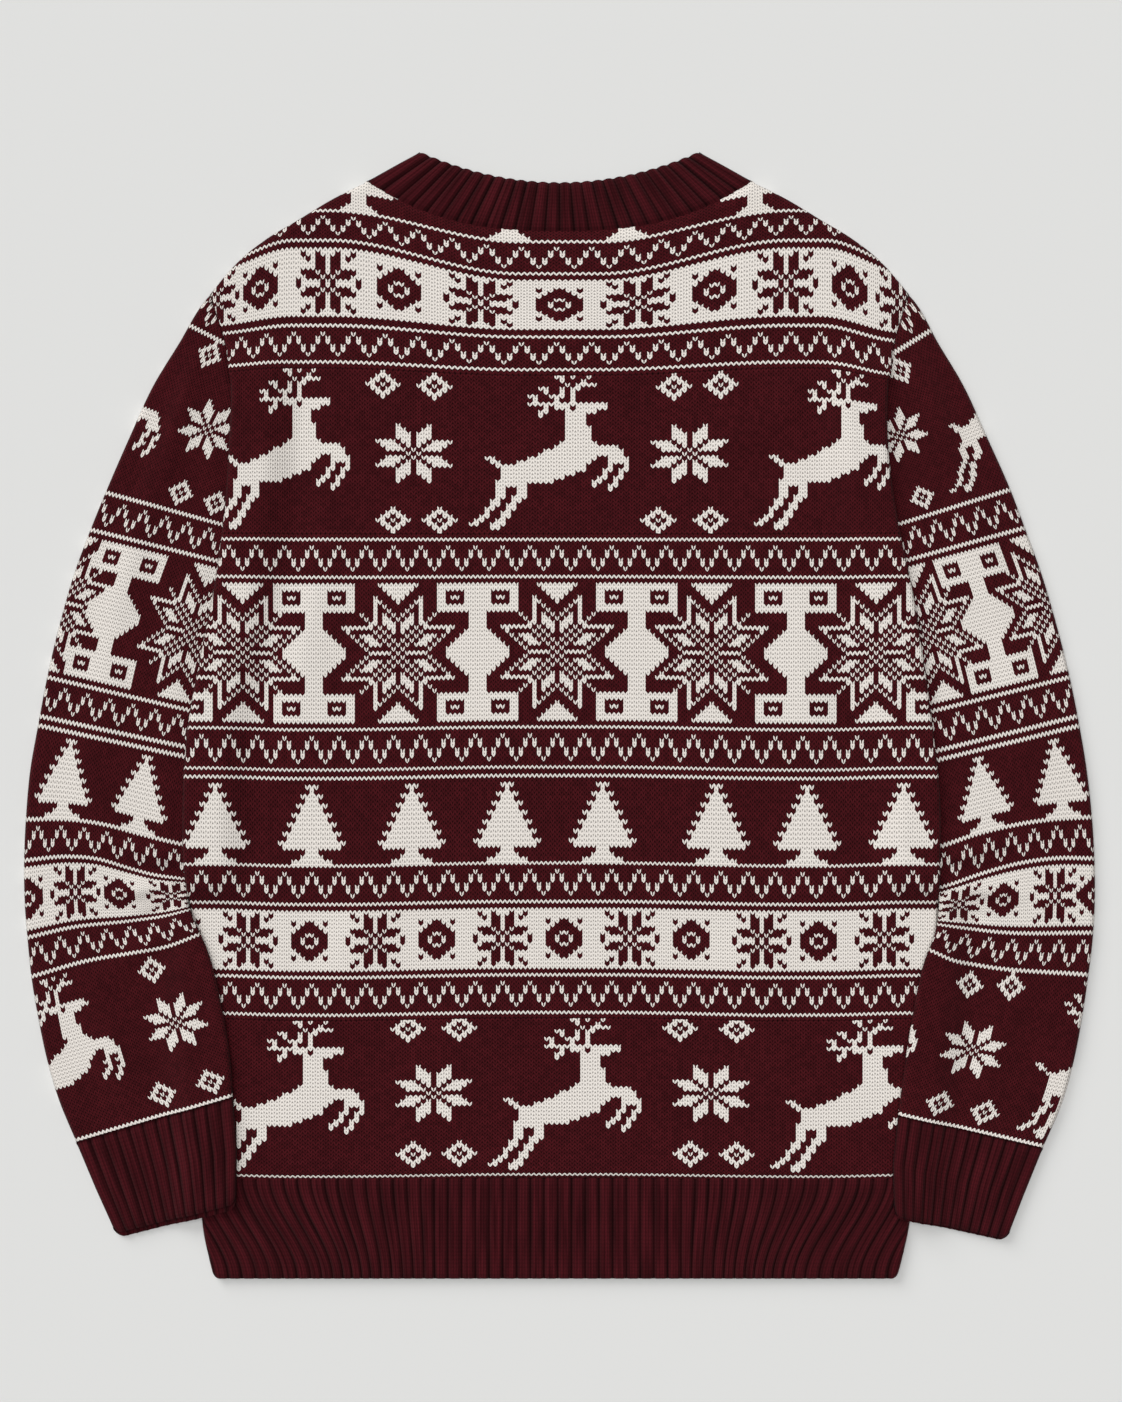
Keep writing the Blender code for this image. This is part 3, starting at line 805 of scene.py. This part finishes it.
def panel_height(x, y, front):
    """Z of a panel's outer surface."""
    left, right = BODY_EDGE[-1](y), BODY_EDGE[1](y)
    edge = np.clip(np.minimum(x - left, right - x), 0.0, None)
    top = panel_top(x, front)
    on_shoulder = abs(x) > NECK_HALF
    drop = top - y
    sewn = smooth((y - TUCK_START) / SEWN_FADE)
    fold_edge = edge + 2.0 * HALF * sewn
    fold_edge = np.where(on_shoulder, np.minimum(fold_edge, np.clip(drop, 0.0, None)), fold_edge)
    middle = HALF + body_lift(y, edge)
    thick = fold_height(fold_edge) - ARMHOLE_DIP * sewn * np.exp(-(edge / SEAM_DIP_WIDTH)**2)
    to_seam = np.minimum(np.where(on_shoulder, FAR, drop), y - HEM_SEAM_Y)
    thick = thick - SEAM_DIP * np.exp(-(np.clip(to_seam, 0.0, None) / SEAM_DIP_WIDTH)**2)
    if front:
        return middle - thick
    calm = smooth((edge - TUCK - LIFT_FADE) / SEAM_CALM)
    calm = calm * smooth(np.minimum(drop, y - HEM_SEAM_Y) / SEAM_CALM)
    return middle + thick + calm * fold_relief(BACK_FOLDS, x, y)


def clamp_to_panel(x, y, front):
    """Move points that lie outside the panel's outline onto it."""
    y = np.clip(y, HEM_SEAM_Y - SEAM_LAP, None)
    x = np.clip(x, BODY_EDGE[-1](y), BODY_EDGE[1](y))
    lap = np.where(abs(x) > NECK_HALF, 0.0, SEAM_LAP)
    return x, np.minimum(y, panel_top(x, front) + lap)


def panel_knit(top, bands, motifs, columns, pitch, narrowing, mirror):
    sheet = Knit(bands, 2 * columns)
    heights = row_heights(top, bands)
    half_columns = np.linspace(-columns, columns, 4 * columns + 1)
    column_x = half_columns * pitch - narrowing * half_columns**3
    x = np.broadcast_to(column_x, (len(heights), len(half_columns)))
    y = course_height(heights[:, None], x)
    sheet.set_points(x, y)
    sheet.knit(motifs)
    if mirror:
        sheet.chart = sheet.chart[:, ::-1]
    return sheet


def make_panel(name, front, material):
    shell = Shell()
    top = YOKE_TOP
    total = YOKE_TOP - HEM_SEAM_Y
    for bands, motifs, columns, pitch, narrowing in PANEL_PARTS:
        sheet = panel_knit(top, bands, motifs, columns, pitch, narrowing, front)
        x, y = drop_stitch_middles(sheet.x, sheet.y)
        y[0], y[-1] = sheet.y[0], sheet.y[-1]
        x, y = clamp_to_panel(x, y, front)
        z = panel_height(x, y, front)
        stitch_u = np.linspace(0, 2 * columns, 4 * columns + 1)[None, :]
        stitch_v = -np.arange(sheet.rows + 1)[:, None]
        bottom = bands[-1][2]
        low_v, high_v = (bottom - HEM_SEAM_Y) / total, (top - HEM_SEAM_Y) / total
        shell.add(x, y, z, stitch_u, stitch_v, ((0.0, low_v), (1.0, high_v)), sheet.chart, front)
        top = bottom
    return shell.build(name, material)


# -------- sleeves

# Courses of each sleeve where they show: its top, its first ten cream lines, and the cuff's
# seam. Each has the width of a stitch, then points from the outer fold inward.
SLEEVE_COURSES = {
    -1: (
        (2.30, ((-222.0, 268.0), (-200.0, 258.0))),
        (2.20, ((-234.0, 247.0), (-211.8, 235.6))),
        (2.30, ((-287.3, 141.0), (-213.0, 120.7))),
        (2.42, ((-298.1, 117.5), (-215.8, 97.2))),
        (2.45, ((-325.1, 24.1), (-232.7, 2.5))),
        (2.45, ((-329.9, -0.6), (-235.9, -20.3))),
        (2.45, ((-330.5, -6.4), (-235.9, -26.7))),
        (2.45, ((-337.5, -66.0), (-310.2, -66.0), (-284.2, -69.9), (-265.8, -74.9), (-238.8, -81.9))),
        (2.45, ((-338.8, -92.1), (-310.2, -89.5), (-293.1, -90.8), (-271.5, -97.2), (-258.1, -101.0),
                (-241.6, -103.5))),
        (2.45, ((-337.5, -141.0), (-310.2, -134.6), (-271.5, -130.2), (-251.8, -127.3), (-233.6, -122.6))),
        (2.60, ((-335.0, -165.7), (-296.9, -154.9), (-271.5, -150.5), (-248.0, -146.1), (-228.3, -138.4))),
        (2.70, ((-306.4, -270.5), (-206.7, -241.3))),
    ),
    1: (
        (2.30, ((222.0, 268.0), (200.0, 258.0))),
        (2.20, ((234.3, 244.0), (209.7, 228.7))),
        (2.30, ((286.1, 142.9), (216.2, 121.3))),
        (2.42, ((296.2, 118.7), (220.0, 97.8))),
        (2.45, ((324.2, 24.1), (234.6, 1.9))),
        (2.45, ((329.2, -0.6), (238.4, -22.9))),
        (2.45, ((330.0, -6.6), (238.4, -28.9))),
        (2.45, ((337.5, -64.5), (311.5, -66.0), (286.1, -69.9), (262.6, -75.6), (241.6, -83.2))),
        (2.45, ((338.8, -90.8), (314.3, -90.5), (288.6, -94.3), (267.7, -100.3), (245.4, -108.0))),
        (2.45, ((337.5, -137.8), (275.3, -137.2), (248.0, -133.4))),
        (2.60, ((335.6, -164.5), (262.6, -157.8), (249.2, -154.9), (235.3, -148.6))),
        (2.70, ((306.4, -274.3), (213.4, -252.7))),
    ),
}
SLEEVE_TOP_LAP = 4.0  # a sleeve starts this far above its first section
SLEEVE_COLUMNS = 62   # enough to reach the inner fold everywhere, from the outer fold
COURSE_REACH = np.arange(50) * 4.0   # distances inward at which a course's height is read
SLEEVE_BANDS = (
    ("zigzag", 8, 0.0),
    ("line", 1, 0.0),
    ("plain", 1, 0.0),
) + CHEST_BANDS + WAIST_BANDS + HIP_BANDS[:-1]

# Motifs of the sleeves, as for the body. Those beyond the outer fold run on underneath.
SLEEVE_MOTIFS = {
    -1: (
        -225.0,
        {"diamond": ((-222.3, 2), (-240.2, 37), (-217.0, 37)), "star": ((-222.3, 19),),
         "deer": ((-274.0, 22, 0.25),)},
        -236.0,
        {"rose": (-234.6, -317.0), "beam": (-280.4, -190.0)},
        -285.0,
        {"tree": (-315.9, -265.8, -364.0)},
        -315.0,
        {"ring": (-335.6, -276.5), "snowflake": (-307.0, -246.1)},
        -300.0,
        {"diamond": ((-257.4, 3), (-251.8, 36), (-221.5, 36)), "star": ((-242.4, 18),),
         "deer": ((-305.5, 20, 0.12),)},
    ),
    1: (
        225.0,
        {"diamond": ((215.8, 2), (228.6, 37)), "star": ((214.9, 17),),
         "deer": ((278.7, 20, -0.2),)},
        240.0,
        {"rose": (235.0, 310.6), "beam": (272.0, 350.0)},
        282.6,
        {"tree": (271.5, 318.5, 366.0)},
        315.0,
        {"ring": (281.6, 340.0), "snowflake": (314.0, 253.0)},
        300.0,
        {"diamond": ((258.8, 3), (286.1, 2), (241.6, 36), (268.3, 36)), "star": ((260.4, 20),),
         "deer": ((344.7, 20, 0.24), (200.6, 20))},
    ),
}


def course_samples(points, side):
    """Height of a course above its outer end, at equal distances inward."""
    x, y = np.array(column_of(points, 0)), np.array(column_of(points, 1))
    across = -side * (x - x[0])
    slope = (y[-1] - y[-2]) / (across[-1] - across[-2])
    if len(points) > 2:
        inside = spline(across, y)(np.minimum(COURSE_REACH, across[-1]))
    else:
        inside = np.interp(COURSE_REACH, across, y)
    return inside + np.clip(COURSE_REACH - across[-1], 0.0, None) * slope - y[0]


def sleeve_plan(side, line_rows, rows, half_columns):
    """Plan points of a sleeve's row lines and half-column lines from the outer fold inward."""
    courses = SLEEVE_COURSES[side]
    keys = [rows[0], *line_rows[:len(courses) - 2], rows[-1]]
    outer_y = spline(keys, [points[0][1] for _, points in courses])(rows)
    outer_x = np.array([float(SLEEVE_OUTER[side](y)) for y in outer_y])
    drops = np.array([course_samples(points, side) for _, points in courses])
    drop = np.stack([np.interp(rows, keys, line) for line in drops.T], axis=1)
    pitch = np.interp(rows, keys, column_of(courses, 0))
    x = np.zeros((len(rows), len(half_columns)))
    y = np.zeros_like(x)
    for r in range(len(rows)):
        steps = np.hypot(np.diff(COURSE_REACH), np.diff(drop[r]))
        run = np.concatenate([[0.0], np.cumsum(steps)])
        at = np.interp(half_columns * pitch[r], run, COURSE_REACH)
        x[r] = outer_x[r] - side * at
        y[r] = outer_y[r] + np.interp(at, COURSE_REACH, drop[r])
    return x, y


def sleeve_height(x, y, side, under):
    """Z of a sleeve's outer surface, on its upper or under layer."""
    outer = np.clip(side * (SLEEVE_OUTER[side](y) - x), 0.0, None)
    inner = np.clip(side * (x - sleeve_inner(y, side)), 0.0, None)
    at_seam = y > TUCK_FULL
    to_fold = np.where(at_seam, outer, np.minimum(outer, inner))
    thick = fold_height(to_fold)
    seam = np.where(at_seam, inner, FAR)
    thick = thick - ARMHOLE_DIP * np.exp(-(seam / SEAM_DIP_WIDTH)**2)
    middle = HALF + sleeve_lift(x, y, side)
    hidden = side * (BODY_EDGE[side](y) - x)
    elbow = np.exp(-((y - ELBOW_Y) / ELBOW_REACH)**2)
    margin = blend(SEAM_CALM, ELBOW_CALM, elbow)
    calm = smooth((np.minimum(outer, inner) - HALF) / margin)
    calm = calm * smooth((y + END_CALM_Y) / END_CALM) * smooth((END_CALM_Y - y) / END_CALM)
    above = smooth((y - ELBOW_CROSS[1]) / (ELBOW_CROSS[0] - ELBOW_CROSS[1]))
    calm = calm * (1.0 - above * (1.0 - smooth(-hidden / EDGE_CALM)))
    sink = SLEEVE_SINK * above * smooth((TUCK_START - y) / SLEEVE_SINK_FADE)
    sink = sink * np.exp(-(np.clip(-hidden, 0.0, None) / SLEEVE_SINK_WIDTH)**2)
    relief = calm * fold_relief(SLEEVE_FOLDS[side], x, y) - sink
    return np.where(under, middle - thick, middle + thick + relief)


def around_fold(upper, side, fold_x=None):
    """Continue rows of values from the outer fold inward onto the under layer.

    Columns then run to the right. With fold_x the values are x, and they are unfolded.
    """
    under = upper[:, :0:-1] if fold_x is None else 2.0 * fold_x - upper[:, :0:-1]
    whole = np.concatenate([under, upper], axis=1)
    return whole[:, ::-1] if side > 0 else whole


def make_sleeve(name, side, material):
    shell = Shell()
    sheet = Knit(SLEEVE_BANDS, 2 * SLEEVE_COLUMNS)
    lines = np.arange(sheet.rows + 1.0)
    line_rows = [start + 0.5 for kind, start, _ in sheet.bands if kind == "line"]
    half_columns = np.linspace(0, SLEEVE_COLUMNS, 2 * SLEEVE_COLUMNS + 1)
    x, y = sleeve_plan(side, line_rows, lines, half_columns)
    sheet.set_points(around_fold(x, side, x[:, :1]), around_fold(y, side))
    sheet.knit(SLEEVE_MOTIFS[side])
    bent_x, bent_y = drop_stitch_middles(x, y)
    bent_x[-1], bent_y[-1] = x[-1], y[-1]
    bent_y = np.minimum(bent_y, SLEEVES[side][0][1] + SLEEVE_TOP_LAP)
    inner = sleeve_inner(bent_y, side)
    outer = SLEEVE_OUTER[side](bent_y)
    bent_x = np.clip(bent_x, np.minimum(inner, outer), np.maximum(inner, outer))
    heights = [sleeve_height(bent_x, bent_y, side, under) for under in (True, False)]
    z = np.concatenate([heights[0][:, :0:-1], heights[1]], axis=1)
    z = z[:, ::-1] if side > 0 else z
    stitch_u = np.linspace(0, 2 * SLEEVE_COLUMNS, 4 * SLEEVE_COLUMNS + 1)[None, :]
    shell.add(around_fold(bent_x, side), around_fold(bent_y, side), z, stitch_u, -lines[:, None],
              ((0.0, 0.0), (1.0, 1.0)), sheet.chart)
    return shell.build(name, material)


# -------- ribs

HEM_RIBS = 52
NECK_RIBS = 26
CUFF_RIBS = 12
RIB_COLUMNS = 12      # points across each rib
RIB_LENGTH = 64.0     # of the hem and the cuffs, from the seam to the free edge
NECK_LENGTH = 31.0
RIB_HEIGHT = 2.0
RIB_GROOVE = 0.11     # half width of the groove between ribs, as a share of a rib
RIB_FADE = 6.0        # ribs flatten out over this distance from a side fold
RIB_WALES = 2
RIB_STRANDS = 5       # fine lines of yarn that show on each rib
WALE_HEIGHT = 0.4
WALES_AT = (0.14, 0.72)    # start and width of the wales, as shares of a rib
WALE_FADE = (0.06, 0.12)
RIB_TURN = 1.9        # how far a layer turns in at the seam and the free edge
RIB_TURN_WIDTH = 1.6
HEM_LAP = 0.4         # the hem starts this far above its seam
RIB_GAP = 0.3         # the neckband and the cuffs start this far beyond theirs
NECK_SCALLOP = 0.6
CUFF_MIDDLE = 0.45    # where along a cuff its first section below the seam lies
# How far the hem's ribs sweep inward from the seam to the free edge: distance of a rib from
# the side edge, sweep.
HEM_SWEEP = (
    (45.0, 26.0),
    (68.0, 21.0),
    (97.0, 11.5),
    (149.0, 0.0),
)
HEM_OVERRUN = 0.09    # share of the hem's width that sweeps in from beyond each side edge
HEM_CORNER = 5.0
CUFF_CORNER = 6.0
CUFF_STEP = {-1: 3.0, 1: 1.5}   # the upper layer of a cuff ends this far short of the lower


def rib_profile(phase):
    """Depth below the crest of a rib knit, with fine wales on each rib."""
    away = np.minimum(phase, 1.0 - phase)
    groove = np.exp(-(away / RIB_GROOVE)**2)
    wales = 0.5 - 0.5 * np.cos(2.0 * math.pi * (RIB_WALES * (phase - WALES_AT[0]) / WALES_AT[1]))
    shown = smooth((away - WALE_FADE[0]) / WALE_FADE[1])
    return RIB_HEIGHT * groove + WALE_HEIGHT * (1.0 - wales) * shown


def corner_rise(edge, radius):
    """How far a free edge lies back from its line near a rounded corner."""
    short = np.clip(radius - edge, 0.0, radius)
    return radius - np.sqrt(radius**2 - short**2)


def no_lift(x, y):
    return 0.0 * x


def make_rib_tube(name, paths, material, ribs, rows, stitches, length, lift=no_lift, overrun=0.0):
    """Two ribbed layers between folded sides; both turn in at the seam and the free edge."""
    shell = Shell()
    steps = round(ribs * (1.0 + 2.0 * overrun) * RIB_COLUMNS)
    share = np.linspace(-overrun, 1.0 + overrun, steps + 1)[None, :]
    depth = np.linspace(0.0, 1.0, rows + 1)[:, None]
    share, depth = np.broadcast_arrays(share, depth)
    ends = np.minimum(depth, 1.0 - depth) * length
    for under, path in ((False, paths[0]), (True, paths[1])):
        x, y, edge = path(share, depth)
        relief = rib_profile((share * ribs) % 1.0) * smooth(edge / RIB_FADE)
        thick = fold_height(edge) - relief - RIB_TURN * np.exp(-(ends / RIB_TURN_WIDTH)**2)
        z = HALF + lift(x, y) + (-thick if under else thick)
        place = ((0.0, 0.0), (1.0, 0.5)) if under else ((0.0, 0.5), (1.0, 1.0))
        stitch_u = share * ribs * RIB_STRANDS
        shell.add(x, y, z, stitch_u, -depth * stitches, place, flip=under)
    return shell.build(name, material)


def hem_path(share, depth):
    y = blend(HEM_SEAM_Y + HEM_LAP, HEM_FREE_Y, depth)
    top_left, top_right = BODY_EDGE[-1](HEM_SEAM_Y), BODY_EDGE[1](HEM_SEAM_Y)
    x = blend(top_left, top_right, share)
    sweep_at, sweep = column_of(HEM_SWEEP, 0), column_of(HEM_SWEEP, 1)
    inward = np.interp(x - top_left, sweep_at, sweep) - np.interp(top_right - x, sweep_at, sweep)
    left, right = BODY_EDGE[-1](y), BODY_EDGE[1](y)
    x = np.clip(x + inward * smooth(depth), left, right)
    edge = np.minimum(x - left, right - x)
    return x, y + corner_rise(edge, HEM_CORNER) * depth**4, edge


def neck_path(front):
    open_middle = FRONT_OPENING_Y if front else BACK_OPENING_Y

    def path(share, depth):
        across = 2.0 * share - 1.0
        half = blend(NECK_HALF, OPENING_HALF, depth)
        free = blend(open_middle, OPENING_TIP_Y, across**2)
        seam = neck_seam(across * NECK_HALF, front) + RIB_GAP
        scallop = NECK_SCALLOP * (0.5 + 0.5 * np.cos(2.0 * math.pi * share * NECK_RIBS)) * depth**3
        edge = np.minimum(share, 1.0 - share) * 2.0 * NECK_HALF
        return half * across, blend(seam, free, depth) - scallop, edge

    return path


def cuff_path(side, step):
    """Plan of a cuff from its seam to its free edge; its first line is the sleeve's last."""
    last = SLEEVES[side][-1]
    inner_x = float(BODY_EDGE[side](np.array(last[2]))) - side * last[3]
    rows = ((last[0], last[1] - RIB_GAP, inner_x, last[2] - RIB_GAP),) + CUFFS[side]
    keys = (0.0, CUFF_MIDDLE, 1.0)
    width, length = abs(rows[0][0] - inner_x), abs(rows[2][1] - rows[0][1])

    def path(share, depth):
        across = share if side < 0 else 1.0 - share
        edge = np.minimum(share, 1.0 - share) * width
        depth = depth - (step + corner_rise(edge, CUFF_CORNER)) / length * depth**3
        ends = [np.interp(depth, keys, column_of(rows, i)) for i in range(4)]
        return blend(ends[0], ends[2], across), blend(ends[1], ends[3], across), edge

    return path


# -------- materials

BURGUNDY = (0.041, 0.0041, 0.0060, 1.0)
BURGUNDY_WARM = (0.052, 0.0052, 0.0074, 1.0)
RIB_BURGUNDY = (0.041, 0.0042, 0.0063, 1.0)
RIB_WARM = (0.051, 0.0052, 0.0078, 1.0)
CREAM = (0.82, 0.766, 0.708, 1.0)
CREAM_COOL = (0.79, 0.737, 0.683, 1.0)


class Nodes:
    """Small helper to write node trees as expressions."""

    def __init__(self, material):
        material.use_nodes = True
        self.tree = material.node_tree
        self.tree.nodes.clear()

    def add(self, kind, inputs=(), **settings):
        node = self.tree.nodes.new(kind)
        for key, value in settings.items():
            setattr(node, key, value)
        for key, value in dict(inputs).items():
            self.set(node.inputs[key], value)
        return node

    def set(self, socket, value):
        if isinstance(value, bpy.types.NodeSocket):
            self.tree.links.new(value, socket)
        else:
            socket.default_value = value

    def math(self, operation, *values):
        node = self.add("ShaderNodeMath", enumerate(values), operation=operation)
        return node.outputs[0]

    def times(self, first, second):
        return self.math("MULTIPLY", first, second)

    def scaled(self, value, factor, offset):
        return self.math("MULTIPLY_ADD", value, factor, offset)

    def noise(self, place, scale, detail):
        inputs = {"Vector": place, "Scale": scale, "Detail": detail}
        return self.add("ShaderNodeTexNoise", inputs).outputs[0]

    def ramp(self, value, start, end, low=0.0, high=1.0):
        """Smooth change from low to high as the value goes from start to end."""
        node = self.add("ShaderNodeMapRange", enumerate((value, start, end, low, high)),
                        interpolation_type="SMOOTHSTEP")
        return node.outputs[0]

    def mix(self, share, low, high):
        node = self.add("ShaderNodeMix", {0: share, 6: low, 7: high}, data_type="RGBA")
        return node.outputs[2]


CREAM_TRIM = 0.15     # share of a row that a cream stitch leaves bare where the cream ends
CREAM_SIDE_TRIM = 0.12
PARTING = (0.78, 0.62)   # how far in and how far down the legs of a lone stitch part


def knit_material(name, rib):
    """Knitted yarn: stocking stitch with colour work, or rib."""
    material = bpy.data.materials.new(name)
    nodes = Nodes(material)
    uv = nodes.add("ShaderNodeUVMap", uv_map="Stitch").outputs[0]
    split = nodes.add("ShaderNodeSeparateXYZ", {0: uv})
    u, v = split.outputs[0], split.outputs[1]
    place = nodes.add("ShaderNodeTexCoord").outputs["Object"]
    # Within a leg of a stitch: from its outer side to the middle of the V, and downward.
    inward = nodes.times(nodes.math("PINGPONG", u, 0.5), 2.0)
    down = nodes.math("SUBTRACT", 1.0, nodes.math("FRACT", v))
    across = nodes.math("SINE", nodes.times(inward, math.pi))
    along = nodes.math("SINE", nodes.times(down, math.pi))
    notch = nodes.times(nodes.ramp(inward, 0.5, 1.0), nodes.ramp(down, 0.6, 0.0))
    below = nodes.times(nodes.ramp(inward, 0.5, 0.0), nodes.ramp(down, 0.4, 1.0))
    gap = nodes.math("ADD", notch, below)
    fibre = nodes.noise(place, 2600.0, 2.0)
    crown = nodes.times(across, nodes.scaled(along, 0.7, 0.3))
    height = nodes.math("SUBTRACT", nodes.scaled(fibre, 0.30, crown), gap)

    cell_u, cell_v = nodes.math("FLOOR", u), nodes.math("FLOOR", v)
    cell = nodes.add("ShaderNodeCombineXYZ", {0: cell_u, 1: cell_v}).outputs[0]
    chance = nodes.add("ShaderNodeTexWhiteNoise", {"Vector": cell}, noise_dimensions="3D").outputs[0]
    shade = nodes.scaled(nodes.noise(place, 38.0, 3.0), 1.6, -0.3)
    # Painted shade: dark yarn is darkened in the gaps between stitches and at leg ends, pale yarn less.
    tone_and_shade = nodes.scaled(gap, -1.1, nodes.scaled(along, 0.65, 0.78))
    if rib:
        colour = nodes.mix(shade, RIB_BURGUNDY, RIB_WARM)
        # Painted shade in the grooves between ribs: the yarn is darker there than on their crests.
        rib_share = nodes.math("DIVIDE", u, float(RIB_STRANDS))
        crest = nodes.ramp(nodes.math("PINGPONG", rib_share, 0.5), 0.03, 0.18, 0.46, 1.16)
        # Streaks that run along the ribs, and a yarn strand per unit of u, with painted shade at its
        # sides.
        stretched = nodes.add("ShaderNodeCombineXYZ", {0: u, 1: nodes.times(v, 0.09)})
        streak = nodes.noise(stretched.outputs[0], 0.55, 2.0)
        strand = nodes.ramp(inward, 0.0, 0.7, 0.66, 1.1)
        tone_and_shade = nodes.times(strand, nodes.ramp(streak, 0.3, 0.7, 0.66, 1.30))
        # Painted shade toward the upper and lower ends of each stitch.
        tone_and_shade = nodes.times(tone_and_shade, nodes.scaled(along, 0.2, 0.88))
        tone_and_shade = nodes.times(tone_and_shade, crest)
    else:
        chart = nodes.add("ShaderNodeAttribute", attribute_name="cream").outputs["Fac"]
        ends = nodes.add("ShaderNodeAttribute", attribute_name="open").outputs["Vector"]
        beside, above, under = nodes.add("ShaderNodeSeparateXYZ", {0: ends}).outputs
        keep = nodes.math("GREATER_THAN", inward, nodes.times(beside, CREAM_SIDE_TRIM))
        for side, depth in ((above, down), (under, nodes.math("SUBTRACT", 1.0, down))):
            bare = nodes.times(side, CREAM_TRIM)
            keep = nodes.times(keep, nodes.math("GREATER_THAN", depth, bare))
        # The two legs of a lone stitch part at its top.
        slit = nodes.times(nodes.math("GREATER_THAN", inward, PARTING[0]),
                           nodes.math("LESS_THAN", down, PARTING[1]))
        parted = nodes.times(nodes.times(above, beside), slit)
        keep = nodes.times(keep, nodes.math("SUBTRACT", 1.0, parted))
        chart = nodes.times(chart, keep)
        burgundy = nodes.mix(shade, BURGUNDY, BURGUNDY_WARM)
        colour = nodes.mix(chart, burgundy, nodes.mix(shade, CREAM_COOL, CREAM))
        # Painted shade of the cream yarn: darker in the gaps between stitches and a little at leg ends.
        pale_painted_shade = nodes.scaled(gap, -0.8, nodes.scaled(along, 0.06, 1.02))
        tone_and_shade = nodes.times(tone_and_shade, nodes.scaled(chance, 0.36, 0.82))
        tone_and_shade = nodes.scaled(nodes.math("SUBTRACT", pale_painted_shade, tone_and_shade), chart, tone_and_shade)
    tone_and_shade = nodes.times(tone_and_shade, nodes.scaled(fibre, 0.3, 0.85))
    # The yarn's colour times its random tone and its painted shade.
    toned_and_shaded = nodes.add("ShaderNodeHueSaturation", {"Value": tone_and_shade, "Color": colour}).outputs[0]

    bump = nodes.add("ShaderNodeBump", {"Height": height, "Strength": 0.6, "Distance": 0.0005})
    shader = nodes.add("ShaderNodeBsdfPrincipled", {
        "Base Color": toned_and_shaded,
        "Roughness": 0.92,
        "Specular IOR Level": 0.06,
        "Sheen Weight": 0.03,
        "Sheen Roughness": 0.5,
        "Normal": bump.outputs[0],
    })
    shader.inputs["Sheen Tint"].default_value = (1.0, 0.72, 0.70, 1.0)
    nodes.add("ShaderNodeOutputMaterial", {0: shader.outputs[0]})
    return material


def floor_material():
    material = bpy.data.materials.new("pale_floor")
    nodes = Nodes(material)
    shader = nodes.add("ShaderNodeBsdfPrincipled", {
        "Base Color": (0.735, 0.735, 0.722, 1.0),
        "Roughness": 0.85,
        "Specular IOR Level": 0.15,
    })
    nodes.add("ShaderNodeOutputMaterial", {0: shader.outputs[0]})
    return material


# -------- floor, light and camera

FLOOR_SIZE = 8.0
FLOOR_DROP = 0.0004
# Suns: the way that the light travels, how wide the source looks, and its strength.
KEY_LIGHT = dict(direction=(0.6, -0.8, -0.62), degrees=38.0, strength=1.69)
TOP_LIGHT = dict(direction=(0.03, -0.04, -1.0), degrees=42.0, strength=1.98)
WORLD_STRENGTH = 0.10
VIEW_HEIGHT_MM = 890.3
VIEW_MIDDLE = (0.95, 8.9)
LENS = 85.0
SENSOR = 36.0


def make_floor():
    half = FLOOR_SIZE / 2
    mesh = bpy.data.meshes.new("floor")
    corners = [(-half, -half), (half, -half), (half, half), (-half, half)]
    mesh.from_pydata([(x, y, -FLOOR_DROP) for x, y in corners], [], [(0, 1, 2, 3)])
    mesh.materials.append(floor_material())
    floor = bpy.data.objects.new("floor", mesh)
    bpy.context.scene.collection.objects.link(floor)


def make_light(name, direction, degrees, strength):
    data = bpy.data.lights.new(name, "SUN")
    data.angle = math.radians(degrees)
    data.energy = strength
    light = bpy.data.objects.new(name, data)
    light.rotation_euler = Vector(direction).to_track_quat("-Z", "Y").to_euler()
    bpy.context.scene.collection.objects.link(light)


def make_world():
    world = bpy.data.worlds.new("studio")
    world.use_nodes = True
    background = world.node_tree.nodes["Background"]
    background.inputs[0].default_value = (0.97, 0.985, 1.0, 1.0)
    background.inputs[1].default_value = WORLD_STRENGTH
    bpy.context.scene.world = world


def make_camera():
    data = bpy.data.cameras.new("camera")
    data.lens = LENS
    data.sensor_width = SENSOR
    distance = VIEW_HEIGHT_MM * MM * LENS / SENSOR
    camera = bpy.data.objects.new("camera", data)
    camera.location = (VIEW_MIDDLE[0] * MM, VIEW_MIDDLE[1] * MM, distance)
    bpy.context.scene.collection.objects.link(camera)
    bpy.context.scene.camera = camera


# -------- the garment

def dress(piece, node):
    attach(piece, "root")
    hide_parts(node)


def main():
    bpy.context.scene.view_settings.view_transform = "Standard"
    make_camera()
    make_floor()
    make_world()
    make_light("key", **KEY_LIGHT)
    make_light("top", **TOP_LIGHT)

    knit = knit_material("jacquard", False)
    rib = knit_material("rib", True)
    dress(make_panel("front_knit", True, knit), "front_panel")
    dress(make_panel("back_knit", False, knit), "back_panel")
    for side, word in ((-1, "left"), (1, "right")):
        dress(make_sleeve("sleeve_knit_" + word, side, knit), "sleeve_" + word)
        paths = (cuff_path(side, CUFF_STEP[side]), cuff_path(side, 0.0))
        cuff = make_rib_tube("cuff_rib_" + word, paths, rib, CUFF_RIBS, rows=24, stitches=26,
                             length=RIB_LENGTH,
                             lift=lambda x, y, side=side: sleeve_lift(x, y, side))
        dress(cuff, "cuff_" + word)
    hem = make_rib_tube("hem_knit", (hem_path, hem_path), rib, HEM_RIBS, rows=26, stitches=26,
                        length=RIB_LENGTH, overrun=HEM_OVERRUN)
    dress(hem, "hem_rib")
    paths = (neck_path(False), neck_path(True))
    neck = make_rib_tube("neckband_knit", paths, rib, NECK_RIBS, rows=16, stitches=14,
                         length=NECK_LENGTH)
    dress(neck, "neckband")


main()
